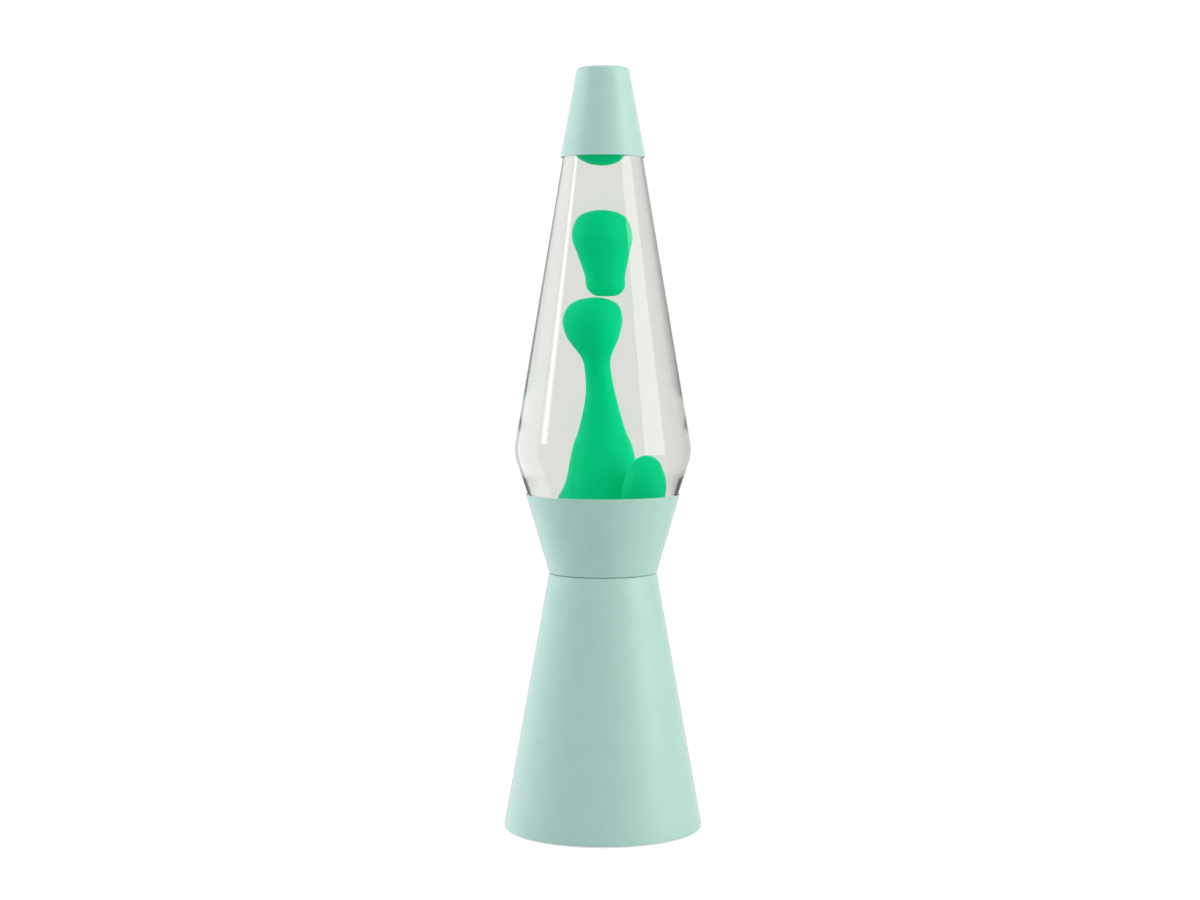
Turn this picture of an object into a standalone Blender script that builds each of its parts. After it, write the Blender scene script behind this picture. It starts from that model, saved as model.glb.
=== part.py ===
"""Lava lamp: a metal base of two cones, a tapered glass bottle of liquid and wax, and a metal cap.

Metres, +Z up. The origin is the middle of the circle that the feet stand on, and every
turned piece stands on the Z axis. An outline is a list of corners (radius, height, fillet).
"""

import math

import bmesh
import bpy
from mathutils import Matrix, Vector

# Heights, stacked from the table up
EDGE_HEIGHT = 0.0010  # table to the cone's lower edge
CONE_HEIGHT = 0.1393
CUP_HEIGHT = 0.04305
BELLY_RISE = 0.0223  # cup rim to the bottle's widest ring
TAPER_HEIGHT = 0.16015  # widest ring to the cap's lower edge
CAP_HEIGHT = 0.0482

# Outside radii
BASE_RADIUS = 0.0546
WAIST_RADIUS = 0.02965
RIM_RADIUS = 0.0423
BELLY_RADIUS = 0.0486  # where the bottle's two tapers would meet, before rounding
COLLAR_RADIUS = 0.0216  # bottle at the cap's lower edge

# Sheet metal shells
CONE_WALL = 0.0012
CUP_WALL = 0.0007
CAP_WALL = 0.0010
WAIST_FILLET = 0.0008
RIM_FILLET = 0.0003
CAP_EDGE_FILLET = 0.0016
CONE_EDGE_FILLET = 0.0012
HEM_WIDTH = 0.0018
LEDGE_HEIGHT = 0.0030  # hem's lower edge to the ledge that the base plate screws to
LEDGE_WIDTH = 0.0085

# Bottle
GLASS_WALL = 0.0022
BELLY_FILLET = 0.029
SHOULDER_RISE = 0.0102  # cap's lower edge to the shoulder
SHOULDER_FILLET = 0.0030
NECK_RADIUS = 0.0130
NECK_FOOT_RISE = 0.0070  # shoulder to the foot of the neck
NECK_HEIGHT = 0.0102
NECK_FILLET = 0.0035
HEEL_FILLET = 0.0045
HEEL_RING = 0.0075
PUSH_UP = 0.0040
PUSH_UP_RADIUS = 0.0090
FLOOR_RISE = 0.0065  # waist to the bottle's heel
AIR_DEPTH = 0.0027  # shoulder down to the liquid's surface

# Crown cap on the mouth
CROWN_RADIUS = 0.01605
CROWN_TOP_RADIUS = 0.0140
CROWN_SHEET = 0.0004
CROWN_SKIRT = 0.0058
LINER_THICKNESS = 0.0008
LINER_RADIUS = 0.0122

# Wax
COIL_RADIUS = 0.0020
POOL_DEPTH = 0.0180  # bottle's inner floor to the pool's edge at the glass
CONTACT_WIDTH = 0.0020  # half of the place where the blob touches the column's head
SHAPE_SIDES = 16

# Reflector bulb with a small Edison cap
BULB_INSET = 0.01015  # the waist in to the bulb, with room for the flange and its nuts
BULB_RADIUS = WAIST_RADIUS - BULB_INSET
BULB_LENGTH = 0.0670
BULB_SINK = 0.0070  # waist down to the bulb's face
BULB_WALL = 0.0008
BULB_BRIM_WIDTH = 0.0014  # face's edge to the bulb's widest ring
BULB_FACE_RISE = 0.0020  # face's edge up to its middle
BULB_BRIM_DEPTH = 0.0082  # face down to the widest ring
BULB_BOWL_INSET = 0.0039  # how far the bowl has drawn in
BULB_BOWL_DEPTH = 0.0205  # at this depth below the face
BULB_THROAT_WIDTH = 0.0015  # how much wider the throat is than the neck
BULB_THROAT_RISE = 0.0090
BULB_NECK_Z = 0.0208  # contact's tip up to the screw shell's upper edge
BULB_NECK_LENGTH = 0.0035  # how far the glass reaches into the screw shell
STEM_HEIGHT = 0.0350  # contact's tip up to the glass stem's top
FILAMENT_HEIGHT = 0.0482
FILAMENT_REACH = 0.0082
FILAMENT_WIRE = 0.00028
SCREW_RADIUS = 0.0069
SCREW_SHEET = 0.0003
SCREW_LENGTH = 0.0165
SCREW_FLOOR_RADIUS = 0.0046  # opening in the screw shell's lower end
CONTACT_RADIUS = 0.0022
CONTACT_HEIGHT = 0.0012
INSULATOR_RADIUS = 0.0055

# Lampholder and the bridge that carries it
HOLDER_RADIUS = 0.0135
HOLDER_WALL = 0.0018
HOLDER_HEIGHT = 0.0360
HOLDER_TAPER = 0.0007  # how much narrower the shell's mouth is than its foot
HOLDER_DROP = 0.0170  # bulb's tip down to the bridge
CONTACT_SPRING_DROP = 0.0035  # bulb's tip down to the insert's floor
SLEEVE_RISE = 0.0034  # bulb's tip up to the threaded sleeve's lower edge
SPRING_SHEET = 0.0004
SPRING_REACH = 0.0046
TERMINAL_CIRCLE = 0.0065
TERMINAL_LENGTH = 0.0018
SLEEVE_SHEET = 0.0004
INSERT_WALL = 0.0030
NIPPLE_RADIUS = 0.0050
NIPPLE_BORE = 0.0036
NIPPLE_LENGTH = 0.0160
BRIDGE_SHEET = 0.0012
BRIDGE_WIDTH = 0.0200
BRIDGE_SPAN = 0.0200  # axis to the outside of a leg
BRIDGE_FOOT = 0.0130
BRIDGE_BEND = 0.0025

# Base plate, feet and cord inlet
PLATE_SHEET = 0.0012
FOOT_RADIUS = 0.0060
FOOT_INSET = 0.0121  # plate's edge to a foot's centre
FOOT_DRAFT = 0.0004
VENT_COUNT = 8
VENT_LENGTH = 0.0110
VENT_WIDTH = 0.0030
VENT_CIRCLE = 0.0220  # axis to the middle of a slot
INLET_HEIGHT = 0.0180
INLET_BORE = 0.0036
INLET_WALL = 0.0011
INLET_FLANGE = 0.0022
INLET_LIP = 0.0012

# Fasteners
BOLT_RADIUS = 0.0015
BOLT_HEAD_RADIUS = 0.0026
BOLT_HEAD_HEIGHT = 0.0015
NUT_FLATS = 0.0055
NUT_HEIGHT = 0.0024
NIPPLE_NUT_FLATS = 0.0140

# Clearances
GAP = 0.0003  # between pieces that touch
PLATE_GAP = 0.0004
LAMP_CLEARANCE = 0.0020  # bulb to the opening that it passes
COLLAR_CLEARANCE = 0.00047  # bottle to the cap's lower edge
CROWN_CLEARANCE = 0.00054

ROUND_STEPS = 28
SMALL_STEPS = 16
BOLT_STEPS = 8
NUT_STEPS = 12

# Levels and slopes that follow from the sizes
WAIST_Z = EDGE_HEIGHT + CONE_HEIGHT
RIM_Z = WAIST_Z + CUP_HEIGHT
BELLY_Z = RIM_Z + BELLY_RISE
COLLAR_Z = BELLY_Z + TAPER_HEIGHT
TOP_Z = COLLAR_Z + CAP_HEIGHT
SHOULDER_Z = COLLAR_Z + SHOULDER_RISE
NECK_FOOT_Z = SHOULDER_Z + NECK_FOOT_RISE
MOUTH_Z = NECK_FOOT_Z + NECK_HEIGHT
FLOOR_Z = WAIST_Z + FLOOR_RISE

CONE_SLOPE = (BASE_RADIUS - WAIST_RADIUS) / CONE_HEIGHT
CUP_SLOPE = (RIM_RADIUS - WAIST_RADIUS) / CUP_HEIGHT
TAPER_SLOPE = (BELLY_RADIUS - COLLAR_RADIUS) / TAPER_HEIGHT

CONE_TOP_Z = WAIST_Z - GAP / 2
CUP_FLOOR_Z = WAIST_Z + GAP / 2
LEDGE_Z = EDGE_HEIGHT + LEDGE_HEIGHT
PLATE_Z = LEDGE_Z - GAP - PLATE_SHEET
PLATE_TOP_Z = PLATE_Z + PLATE_SHEET
OPENING_RADIUS = BULB_RADIUS + LAMP_CLEARANCE

BULB_TOP_Z = WAIST_Z - BULB_SINK
BULB_TIP_Z = BULB_TOP_Z - BULB_LENGTH


def level_width(wall, slope):
    """How wide a wall of a given thickness is when it's measured level on a sloping side."""
    return wall * math.hypot(1.0, slope)


def cone_radius(height):
    return BASE_RADIUS - CONE_SLOPE * (height - EDGE_HEIGHT)


def cup_radius(height):
    return WAIST_RADIUS + CUP_SLOPE * (height - WAIST_Z)


def cup_bore(height):
    return cup_radius(height) - level_width(CUP_WALL, CUP_SLOPE)


def seat_radius(height):
    """The bottle's outside where it nests in the cup."""
    return cup_bore(height) - level_width(GAP, CUP_SLOPE)


# Outlines


def filleted(corners, pieces=2, closed=False):
    """An outline's points, with each corner's fillet as an arc of a few straight pieces."""
    points = []
    count = len(corners)
    for index, (radius, height, fillet) in enumerate(corners):
        here = Vector((radius, height))
        at_end = not closed and index in (0, count - 1)
        if fillet <= 0 or at_end:
            points.append(here)
            continue
        before = Vector(corners[index - 1][:2]) - here
        after = Vector(corners[(index + 1) % count][:2]) - here
        reach = min(before.length, after.length) * 0.48
        before.normalize()
        after.normalize()
        half = before.angle(after) / 2
        if half > math.radians(89.5):
            points.append(here)
            continue
        run = min(fillet / math.tan(half), reach)
        size = run * math.tan(half)
        middle = here + (before + after).normalized() * (size / math.sin(half))
        start = here + before * run - middle
        sweep = start.angle_signed(here + after * run - middle)
        for step in range(pieces + 1):
            turn = Matrix.Rotation(-sweep * step / pieces, 2)
            points.append(middle + turn @ start)
    return [(point.x, point.y) for point in points]


def offset(corners, distance):
    """The corners of an outline that runs beside another at a constant distance, on its left."""
    flat = [Vector(corner[:2]) for corner in corners]
    sides = []
    for here, there in zip(flat, flat[1:]):
        along = (there - here).normalized()
        sides.append((here, along, Vector((-along.y, along.x)) * distance))
    found = [(flat[0] + sides[0][2], 0.0)]
    for (_, along, shift), (start, onward, move) in zip(sides, sides[1:]):
        turn = along.cross(onward)
        if abs(turn) < 1e-9:
            found.append((start + move, 0.0))
            continue
        gap = (start + move) - (start + shift)
        found.append((start + shift + along * (gap.cross(onward) / turn), turn))
    found.append((flat[-1] + sides[-1][2], 0.0))
    result = []
    for (point, turn), corner in zip(found, corners):
        fillet = corner[2]
        if fillet > 0:
            fillet = max(fillet - distance * math.copysign(1.0, turn), 0.0004)
        result.append((point.x, point.y, fillet))
    return result


def mirrored_ends(stations):
    """The stations with one more at each end, mirrored in the axis, so that the poles are round."""
    first, last = stations[1], stations[-2]
    head = (-first[0], first[1], first[2])
    tail = (-last[0], last[1], last[2])
    return [head, *stations, tail]


def smooth(stations, pieces=2, round_ends=True):
    """A smooth curve through (radius, height, lean) stations, as a Catmull-Rom spline."""
    held = mirrored_ends(stations) if round_ends else [stations[0], *stations, stations[-1]]
    points = []
    for first, second, third, fourth in zip(held, held[1:], held[2:], held[3:]):
        for piece in range(pieces):
            t = piece / pieces
            points.append(
                tuple(
                    0.5
                    * (
                        2 * b
                        + (c - a) * t
                        + (2 * a - 5 * b + 4 * c - d) * t * t
                        + (3 * b - a - 3 * c + d) * t * t * t
                    )
                    for a, b, c, d in zip(first, second, third, fourth)
                )
            )
    points.append(tuple(stations[-1]))
    return points


def grown(rings, distance):
    """The rings pushed out at right angles to their own outline, from the top down."""
    held = mirrored_ends(rings)
    result = []
    for before, here, after in zip(held, held[1:], held[2:]):
        along = Vector((after[0] - before[0], after[1] - before[1])).normalized()
        radius = 0.0 if here[0] == 0 else here[0] - along.y * distance
        result.append((radius, here[1] + along.x * distance, here[2]))
    return result


# Solids


def finished(name, mesh_data, material, parent=None, location=(0, 0, 0), rotation=(0, 0, 0)):
    """A named object from a bmesh, shaded smooth between its edges."""
    mesh = bpy.data.meshes.new(name)
    mesh_data.to_mesh(mesh)
    mesh_data.free()
    mesh.shade_smooth()
    mesh.set_sharp_from_angle(angle=math.radians(35))
    if material:
        mesh.materials.append(material)
    piece = bpy.data.objects.new(name, mesh)
    piece.location = location
    piece.rotation_euler = rotation
    piece.parent = parent
    bpy.context.scene.collection.objects.link(piece)
    return piece


def turned(outline, steps=ROUND_STEPS, closed=False):
    """A solid of revolution about Z. An open outline starts and ends on the axis."""
    shape = bmesh.new()
    ring = [shape.verts.new((radius, 0.0, height)) for radius, height in outline]
    pairs = list(zip(ring, ring[1:]))
    if closed:
        pairs.append((ring[-1], ring[0]))
    edges = [shape.edges.new(pair) for pair in pairs]
    whole = {"cent": (0, 0, 0), "axis": (0, 0, 1), "angle": math.tau, "steps": steps, "use_merge": True}
    bmesh.ops.spin(shape, geom=ring + edges, **whole)
    bmesh.ops.remove_doubles(shape, verts=shape.verts, dist=1e-6)
    bmesh.ops.recalc_face_normals(shape, faces=shape.faces)
    return shape


def lofted(rings, sides=SHAPE_SIDES, place=(0.0, 0.0)):
    """Round rings on a leaning centre line: (radius, height, lean along X), ending in two poles."""
    shape = bmesh.new()
    loops = []
    for radius, height, lean in rings[1:-1]:
        centre = Vector((place[0] + lean, place[1], height))
        turn = [math.tau * side / sides for side in range(sides)]
        ring = [centre + Vector((math.cos(a), math.sin(a), 0)) * radius for a in turn]
        loops.append([shape.verts.new(point) for point in ring])
    for upper, lower in zip(loops, loops[1:]):
        for side in range(sides):
            onward = (side + 1) % sides
            shape.faces.new((upper[side], lower[side], lower[onward], upper[onward]))
    for loop, ring in ((loops[0], rings[0]), (loops[-1], rings[-1])):
        pole = shape.verts.new((place[0] + ring[2], place[1], ring[1]))
        for side in range(sides):
            shape.faces.new((pole, loop[side], loop[(side + 1) % sides]))
    bmesh.ops.recalc_face_normals(shape, faces=shape.faces)
    return shape


def circle(radius, centre=(0.0, 0.0), steps=BOLT_STEPS):
    turn = [math.tau * step / steps for step in range(steps)]
    return [(centre[0] + radius * math.cos(a), centre[1] + radius * math.sin(a)) for a in turn]


def slot(length, width, centre, angle, steps=4):
    """A stadium: two half circles a length apart, turned by an angle."""
    points = []
    for end in (0, 1):
        for step in range(steps + 1):
            a = math.pi * (step / steps + end - 0.5)
            run = (0.5 - end) * (length - width)
            points.append((run + math.cos(a) * width / 2, math.sin(a) * width / 2))
    turn = Matrix.Rotation(angle, 2)
    return [tuple(turn @ Vector(point) + Vector(centre)) for point in points]


def prisms(outlines, low, high):
    """Upright prisms on flat outlines, between two heights."""
    shape = bmesh.new()
    for outline in outlines:
        floor = shape.faces.new([shape.verts.new((x, y, low)) for x, y in outline])
        lifted = bmesh.ops.extrude_face_region(shape, geom=[floor])
        verts = [item for item in lifted["geom"] if isinstance(item, bmesh.types.BMVert)]
        bmesh.ops.translate(shape, verts=verts, vec=(0, 0, high - low))
    bmesh.ops.recalc_face_normals(shape, faces=shape.faces)
    return shape


def hexagon_nut(flats, height, bore):
    """A nut whose underside is at height 0: a hexagon with a round bore."""
    shape = bmesh.new()
    corner = flats / math.sqrt(3)
    rows = []
    for level in (0.0, height):
        outer, inner = [], []
        for step in range(NUT_STEPS):
            a = math.tau * step / NUT_STEPS
            reach = corner if step % 2 == 0 else flats / 2
            outer.append(shape.verts.new((reach * math.cos(a), reach * math.sin(a), level)))
            inner.append(shape.verts.new((bore * math.cos(a), bore * math.sin(a), level)))
        rows.append((outer, inner))
    (low_out, low_in), (high_out, high_in) = rows
    for step in range(NUT_STEPS):
        onward = (step + 1) % NUT_STEPS
        around = [low_out, high_out, high_in, low_in]
        for first, second in zip(around, around[1:] + around[:1]):
            shape.faces.new((first[step], first[onward], second[onward], second[step]))
    bmesh.ops.recalc_face_normals(shape, faces=shape.faces)
    return shape


def bolt(length, radius=BOLT_RADIUS):
    """A pan head bolt: the head's bearing face is at height 0 and the shank goes down."""
    head = [
        (0, BOLT_HEAD_HEIGHT, 0),
        (BOLT_HEAD_RADIUS, BOLT_HEAD_HEIGHT, BOLT_HEAD_HEIGHT / 2),
        (BOLT_HEAD_RADIUS, 0, 0),
        (radius, 0, 0),
        (radius, -length, 0),
        (0, -length, 0),
    ]
    return turned(filleted(head), BOLT_STEPS)


def cutter(name, shape, location=(0, 0, 0), rotation=(0, 0, 0)):
    tool = finished(name, shape, None, location=location, rotation=rotation)
    tool.hide_render = True
    tool.display_type = "WIRE"
    return tool


def cut(piece, *tools):
    for tool in tools:
        modifier = piece.modifiers.new(tool.name, "BOOLEAN")
        modifier.operation = "DIFFERENCE"
        modifier.solver = "EXACT"
        modifier.object = tool


def spread(count, radius, first=0.0):
    """Evenly spaced places on a circle."""
    turn = [first + math.tau * index / count for index in range(count)]
    return [(radius * math.cos(a), radius * math.sin(a)) for a in turn]


def finish(name, colour, roughness, metallic=0.0, transmission=0.0):
    material = bpy.data.materials.new(name)
    material.use_nodes = True
    shader = material.node_tree.nodes["Principled BSDF"]
    shader.inputs["Base Color"].default_value = (*colour, 1.0)
    shader.inputs["Roughness"].default_value = roughness
    shader.inputs["Metallic"].default_value = metallic
    shader.inputs["Transmission Weight"].default_value = transmission
    material.diffuse_color = (*colour, 1.0)
    return material


def axis_empty(name, parent=None, height=0.0):
    """An empty on the Z axis that a moving group hangs from."""
    empty = bpy.data.objects.new(name, None)
    empty.location = (0, 0, height)
    empty.parent = parent
    bpy.context.scene.collection.objects.link(empty)
    return empty


# Shapes that several pieces share

BOTTLE_OUTSIDE = [
    (NECK_RADIUS, MOUTH_Z, 0),
    (NECK_RADIUS, NECK_FOOT_Z, NECK_FILLET),
    (COLLAR_RADIUS - TAPER_SLOPE * SHOULDER_RISE, SHOULDER_Z, SHOULDER_FILLET),
    (BELLY_RADIUS, BELLY_Z, BELLY_FILLET),
    (seat_radius(RIM_Z), RIM_Z, 0),
    (seat_radius(FLOOR_Z), FLOOR_Z, HEEL_FILLET),
    (seat_radius(FLOOR_Z) - HEEL_RING, FLOOR_Z, 0.0015),
    (PUSH_UP_RADIUS, FLOOR_Z + PUSH_UP, 0.0015),
    (0, FLOOR_Z + PUSH_UP, 0),
]
# The outline walks down the outside with the open air on its left, so the glass is at a negative distance
BOTTLE_INSIDE = offset(BOTTLE_OUTSIDE, -GLASS_WALL)
LIQUID_OUTSIDE = offset(BOTTLE_INSIDE, -GAP)
LIQUID_Z = SHOULDER_Z - AIR_DEPTH
INNER_FLOOR_Z = LIQUID_OUTSIDE[6][1]


def taper_bore(height):
    """The liquid's radius in the bottle's upper taper."""
    (high_r, high_z, _), (low_r, low_z, _) = LIQUID_OUTSIDE[2:4]
    return low_r + (high_r - low_r) * (height - low_z) / (high_z - low_z)


def heel_bore(height):
    """The wax's radius in the bottle's lower taper."""
    (high_r, high_z, _), (low_r, low_z, _) = LIQUID_OUTSIDE[4:6]
    return low_r + (high_r - low_r) * (height - low_z) / (high_z - low_z)


COIL_RING = LIQUID_OUTSIDE[6][0] + COIL_RADIUS + GAP
COIL_Z = INNER_FLOOR_Z + COIL_RADIUS
COIL_TOP_Z = COIL_Z + COIL_RADIUS + GAP
POOL_Z = INNER_FLOOR_Z + POOL_DEPTH

# Wax shapes as (radius, height over the rim, lean), from the top down
COLUMN_STATIONS = [
    (0.0, 0.1054, -0.0036),
    (0.0091, 0.1024, -0.0036),
    (0.0123, 0.0940, -0.0042),
    (0.0108, 0.0838, -0.0041),
    (0.0062, 0.0730, -0.0028),
    (0.0054, 0.0650, -0.0020),
    (0.0062, 0.0520, -0.0009),
    (0.0092, 0.0345, -0.0004),
    (0.0132, 0.0205, 0.0),
    (0.0160, 0.0075, 0.0),
    (0.0225, -0.0060, 0.0),
]
BLOB_STATIONS = [
    (0.0, 0.1528, -0.0006),
    (0.0091, 0.1494, -0.0006),
    (0.0122, 0.1390, -0.0004),
    (0.0104, 0.1280, 0.0002),
    (0.0083, 0.1172, 0.0008),
    (0.0078, 0.1106, 0.0011),
    (0.0050, 0.1066, 0.0012),
    (0.0, 0.1059, 0.0012),
]
MOUND_STATIONS = [
    (0.0, 0.0227, 0.0),
    (0.0070, 0.0192, 0.0),
    (0.0113, 0.0075, 0.0),
    (0.0100, -0.0035, 0.0),
    (0.0052, -0.0095, 0.0),
    (0.0, -0.0108, 0.0),
]
MOUND_ANGLE = math.radians(-43.53)
DOME_STATIONS = [
    (0.0, LIQUID_Z - RIM_Z, -0.0008),
    (0.0080, LIQUID_Z - RIM_Z - 0.0006, -0.0008),
    (0.0113, LIQUID_Z - RIM_Z - 0.0030, -0.0008),
    (0.0098, LIQUID_Z - RIM_Z - 0.0082, -0.0010),
    (0.0056, LIQUID_Z - RIM_Z - 0.0120, -0.0006),
    (0.0, LIQUID_Z - RIM_Z - 0.0133, -0.0004),
]


def mound_place():
    """The mound stands out from the axis as far as the bore lets its lower half."""
    reach = min(heel_bore(RIM_Z + rise) - radius for radius, rise, _ in MOUND_STATIONS if rise < 0)
    return (reach * math.cos(MOUND_ANGLE), reach * math.sin(MOUND_ANGLE))


def wax_rings(stations):
    return smooth([(radius, RIM_Z + rise, lean) for radius, rise, lean in stations])


def column_rings():
    """The column's smooth outline, carried on into the pool that fills the bottle's heel."""
    corner = (heel_bore(COIL_TOP_Z), COIL_TOP_Z, 0.0)
    inner = LIQUID_OUTSIDE[6][0] - GAP
    crown = (PUSH_UP_RADIUS, LIQUID_OUTSIDE[7][1], 0.0)
    around_coil = [corner, (inner, COIL_TOP_Z, 0.0), (inner, INNER_FLOOR_Z + GAP, 0.0)]
    edge = (heel_bore(POOL_Z), POOL_Z, 0.0)
    return [*free_column_rings(), edge, *around_coil, crown, (0.0, crown[1], 0.0)]


def column_space_rings():
    """The column a clearance larger, with a pool wider than the bore and deeper than its floor."""
    wide = heel_bore(POOL_Z) + GLASS_WALL / 2
    low = INNER_FLOOR_Z - GLASS_WALL
    pool = [(wide, POOL_Z + GAP, 0.0), (wide, low, 0.0), (0.0, low, 0.0)]
    edge = (heel_bore(POOL_Z), POOL_Z, 0.0)
    return grown([*free_column_rings(), edge], GAP)[:-1] + pool


def free_column_rings():
    free = [(radius, RIM_Z + rise, lean) for radius, rise, lean in COLUMN_STATIONS]
    return smooth([*free, (heel_bore(POOL_Z) - 0.0030, POOL_Z + 0.0006, 0.0)], round_ends=False)


# The pieces


def make_cap(metal, group):
    edge = COLLAR_RADIUS + COLLAR_CLEARANCE
    crown_top = MOUTH_Z + GAP * 2 + LINER_THICKNESS + CROWN_SHEET
    slope = (edge - CROWN_RADIUS - CROWN_CLEARANCE) / (crown_top - COLLAR_Z)
    wall = level_width(CAP_WALL, slope)
    inner_top = TOP_Z - CAP_WALL
    outline = [
        (0, TOP_Z, 0),
        (edge + wall - slope * CAP_HEIGHT, TOP_Z, CAP_EDGE_FILLET),
        (edge + wall, COLLAR_Z, RIM_FILLET),
        (edge, COLLAR_Z, RIM_FILLET),
        (edge - slope * (inner_top - COLLAR_Z), inner_top, CAP_EDGE_FILLET - CAP_WALL),
        (0, inner_top, 0),
    ]
    finished("cap", turned(filleted(outline)), metal, group)


def make_bottle(glass, group):
    """Up the outside from the heel's middle, over the mouth, and down the inside."""
    outline = filleted(BOTTLE_OUTSIDE)[::-1] + filleted(BOTTLE_INSIDE)
    finished("bottle", turned(outline), glass, group)


def make_crown(metal, rubber, group):
    under = MOUTH_Z + GAP * 2 + LINER_THICKNESS
    top = under + CROWN_SHEET
    outline = [
        (0, top, 0),
        (CROWN_TOP_RADIUS, top, 0.0014),
        (CROWN_RADIUS, top - CROWN_SKIRT, 0),
        (CROWN_RADIUS - CROWN_SHEET, top - CROWN_SKIRT, 0),
        (CROWN_TOP_RADIUS - CROWN_SHEET, under, 0.0010),
        (0, under, 0),
    ]
    finished("crown_cap", turned(filleted(outline)), metal, group)
    liner = [
        (0, under - GAP),
        (LINER_RADIUS, under - GAP),
        (LINER_RADIUS, MOUTH_Z + GAP),
        (0, MOUTH_Z + GAP),
    ]
    finished("crown_liner", turned(liner, SMALL_STEPS), rubber, group)


def make_wax(wax, bottle_group, mover_groups):
    column = finished("wax_column", lofted(column_rings()), wax, bottle_group)
    mound = wax_rings(MOUND_STATIONS)
    blob = wax_rings(BLOB_STATIONS)
    dome = wax_rings(DOME_STATIONS)
    finished("wax_mound", lofted(mound, place=mound_place()), wax, mover_groups["mound"])
    finished("wax_blob", lofted(blob), wax, mover_groups["blob"])
    finished("wax_dome", lofted(dome), wax, mover_groups["dome"])
    mound_space = cutter("mound_space", lofted(grown(mound, GAP), place=mound_place()))
    cut(column, mound_space)
    # The blob rests on the column's head, so the liquid is open between the two
    touch = [circle(CONTACT_WIDTH, (BLOB_STATIONS[-1][2] - CONTACT_WIDTH, 0.0))]
    touch_low = RIM_Z + COLUMN_STATIONS[1][1]
    touch_high = RIM_Z + BLOB_STATIONS[-2][1] + CONTACT_WIDTH / 2
    spaces = [
        mound_space,
        cutter("contact_space", prisms(touch, touch_low, touch_high)),
        cutter("column_space", lofted(column_space_rings())),
        cutter("blob_space", lofted(grown(blob, GAP))),
        cutter("dome_space", lofted(grown(dome, GAP))),
    ]
    return spaces


def make_liquid(water, group, spaces):
    outline = [(0, LIQUID_Z, 0), (taper_bore(LIQUID_Z), LIQUID_Z, 0), *LIQUID_OUTSIDE[3:]]
    liquid = finished("liquid", turned(filleted(outline)), water, group)
    cut(liquid, *spaces)


def make_coil(steel, group):
    ring = [(COIL_RING + x, COIL_Z + z) for x, z in circle(COIL_RADIUS, steps=8)]
    finished("wax_coil", turned(ring, closed=True), steel, group)


def make_cup(metal):
    outline = [
        (RIM_RADIUS, RIM_Z, RIM_FILLET),
        (cup_radius(CUP_FLOOR_Z), CUP_FLOOR_Z, WAIST_FILLET),
        (OPENING_RADIUS, CUP_FLOOR_Z, 0),
        (OPENING_RADIUS, CUP_FLOOR_Z + CUP_WALL, 0),
        (cup_bore(CUP_FLOOR_Z + CUP_WALL), CUP_FLOOR_Z + CUP_WALL, WAIST_FILLET),
        (cup_bore(RIM_Z), RIM_Z, RIM_FILLET),
    ]
    return finished("cup", turned(filleted(outline, closed=True), closed=True), metal)


def make_cone(metal):
    wall = level_width(CONE_WALL, CONE_SLOPE)
    under = CONE_TOP_Z - CONE_WALL
    ledge_top = LEDGE_Z + CONE_WALL
    hem = BASE_RADIUS - HEM_WIDTH
    outline = [
        (cone_radius(CONE_TOP_Z), CONE_TOP_Z, WAIST_FILLET),
        (BASE_RADIUS, EDGE_HEIGHT, CONE_EDGE_FILLET),
        (hem, EDGE_HEIGHT, RIM_FILLET),
        (hem, LEDGE_Z, 0),
        (hem - LEDGE_WIDTH, LEDGE_Z, 0),
        (hem - LEDGE_WIDTH, ledge_top, 0),
        (cone_radius(ledge_top) - wall, ledge_top, 0),
        (cone_radius(under) - wall, under, 0),
        (OPENING_RADIUS, under, 0),
        (OPENING_RADIUS, CONE_TOP_Z, 0),
    ]
    return finished("cone", turned(filleted(outline, closed=True), closed=True), metal)


def make_waist_fasteners(steel, cup, cone):
    """Bolts through the two flanges, with their nuts under the cone's."""
    flange = (OPENING_RADIUS + cone_radius(CONE_TOP_Z) - level_width(CONE_WALL, CONE_SLOPE)) / 2
    places = spread(3, flange, math.radians(90))
    holes = [circle(BOLT_RADIUS + GAP, place) for place in places]
    low = CONE_TOP_Z - CONE_WALL
    head = CUP_FLOOR_Z + CUP_WALL
    waist_holes = cutter("waist_holes", prisms(holes, low - CONE_WALL, head + CUP_WALL))
    cut(cup, waist_holes)
    cut(cone, waist_holes)
    nut_z = low - GAP - NUT_HEIGHT
    for number, place in enumerate(places, 1):
        facing = math.atan2(place[1], place[0]) + math.radians(30)
        length = head + GAP - nut_z + BOLT_RADIUS / 2
        finished(f"waist_bolt_{number}", bolt(length), steel, location=(*place, head + GAP))
        nut = hexagon_nut(NUT_FLATS, NUT_HEIGHT, BOLT_RADIUS + GAP)
        finished(f"waist_nut_{number}", nut, steel, location=(*place, nut_z), rotation=(0, 0, facing))


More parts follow.
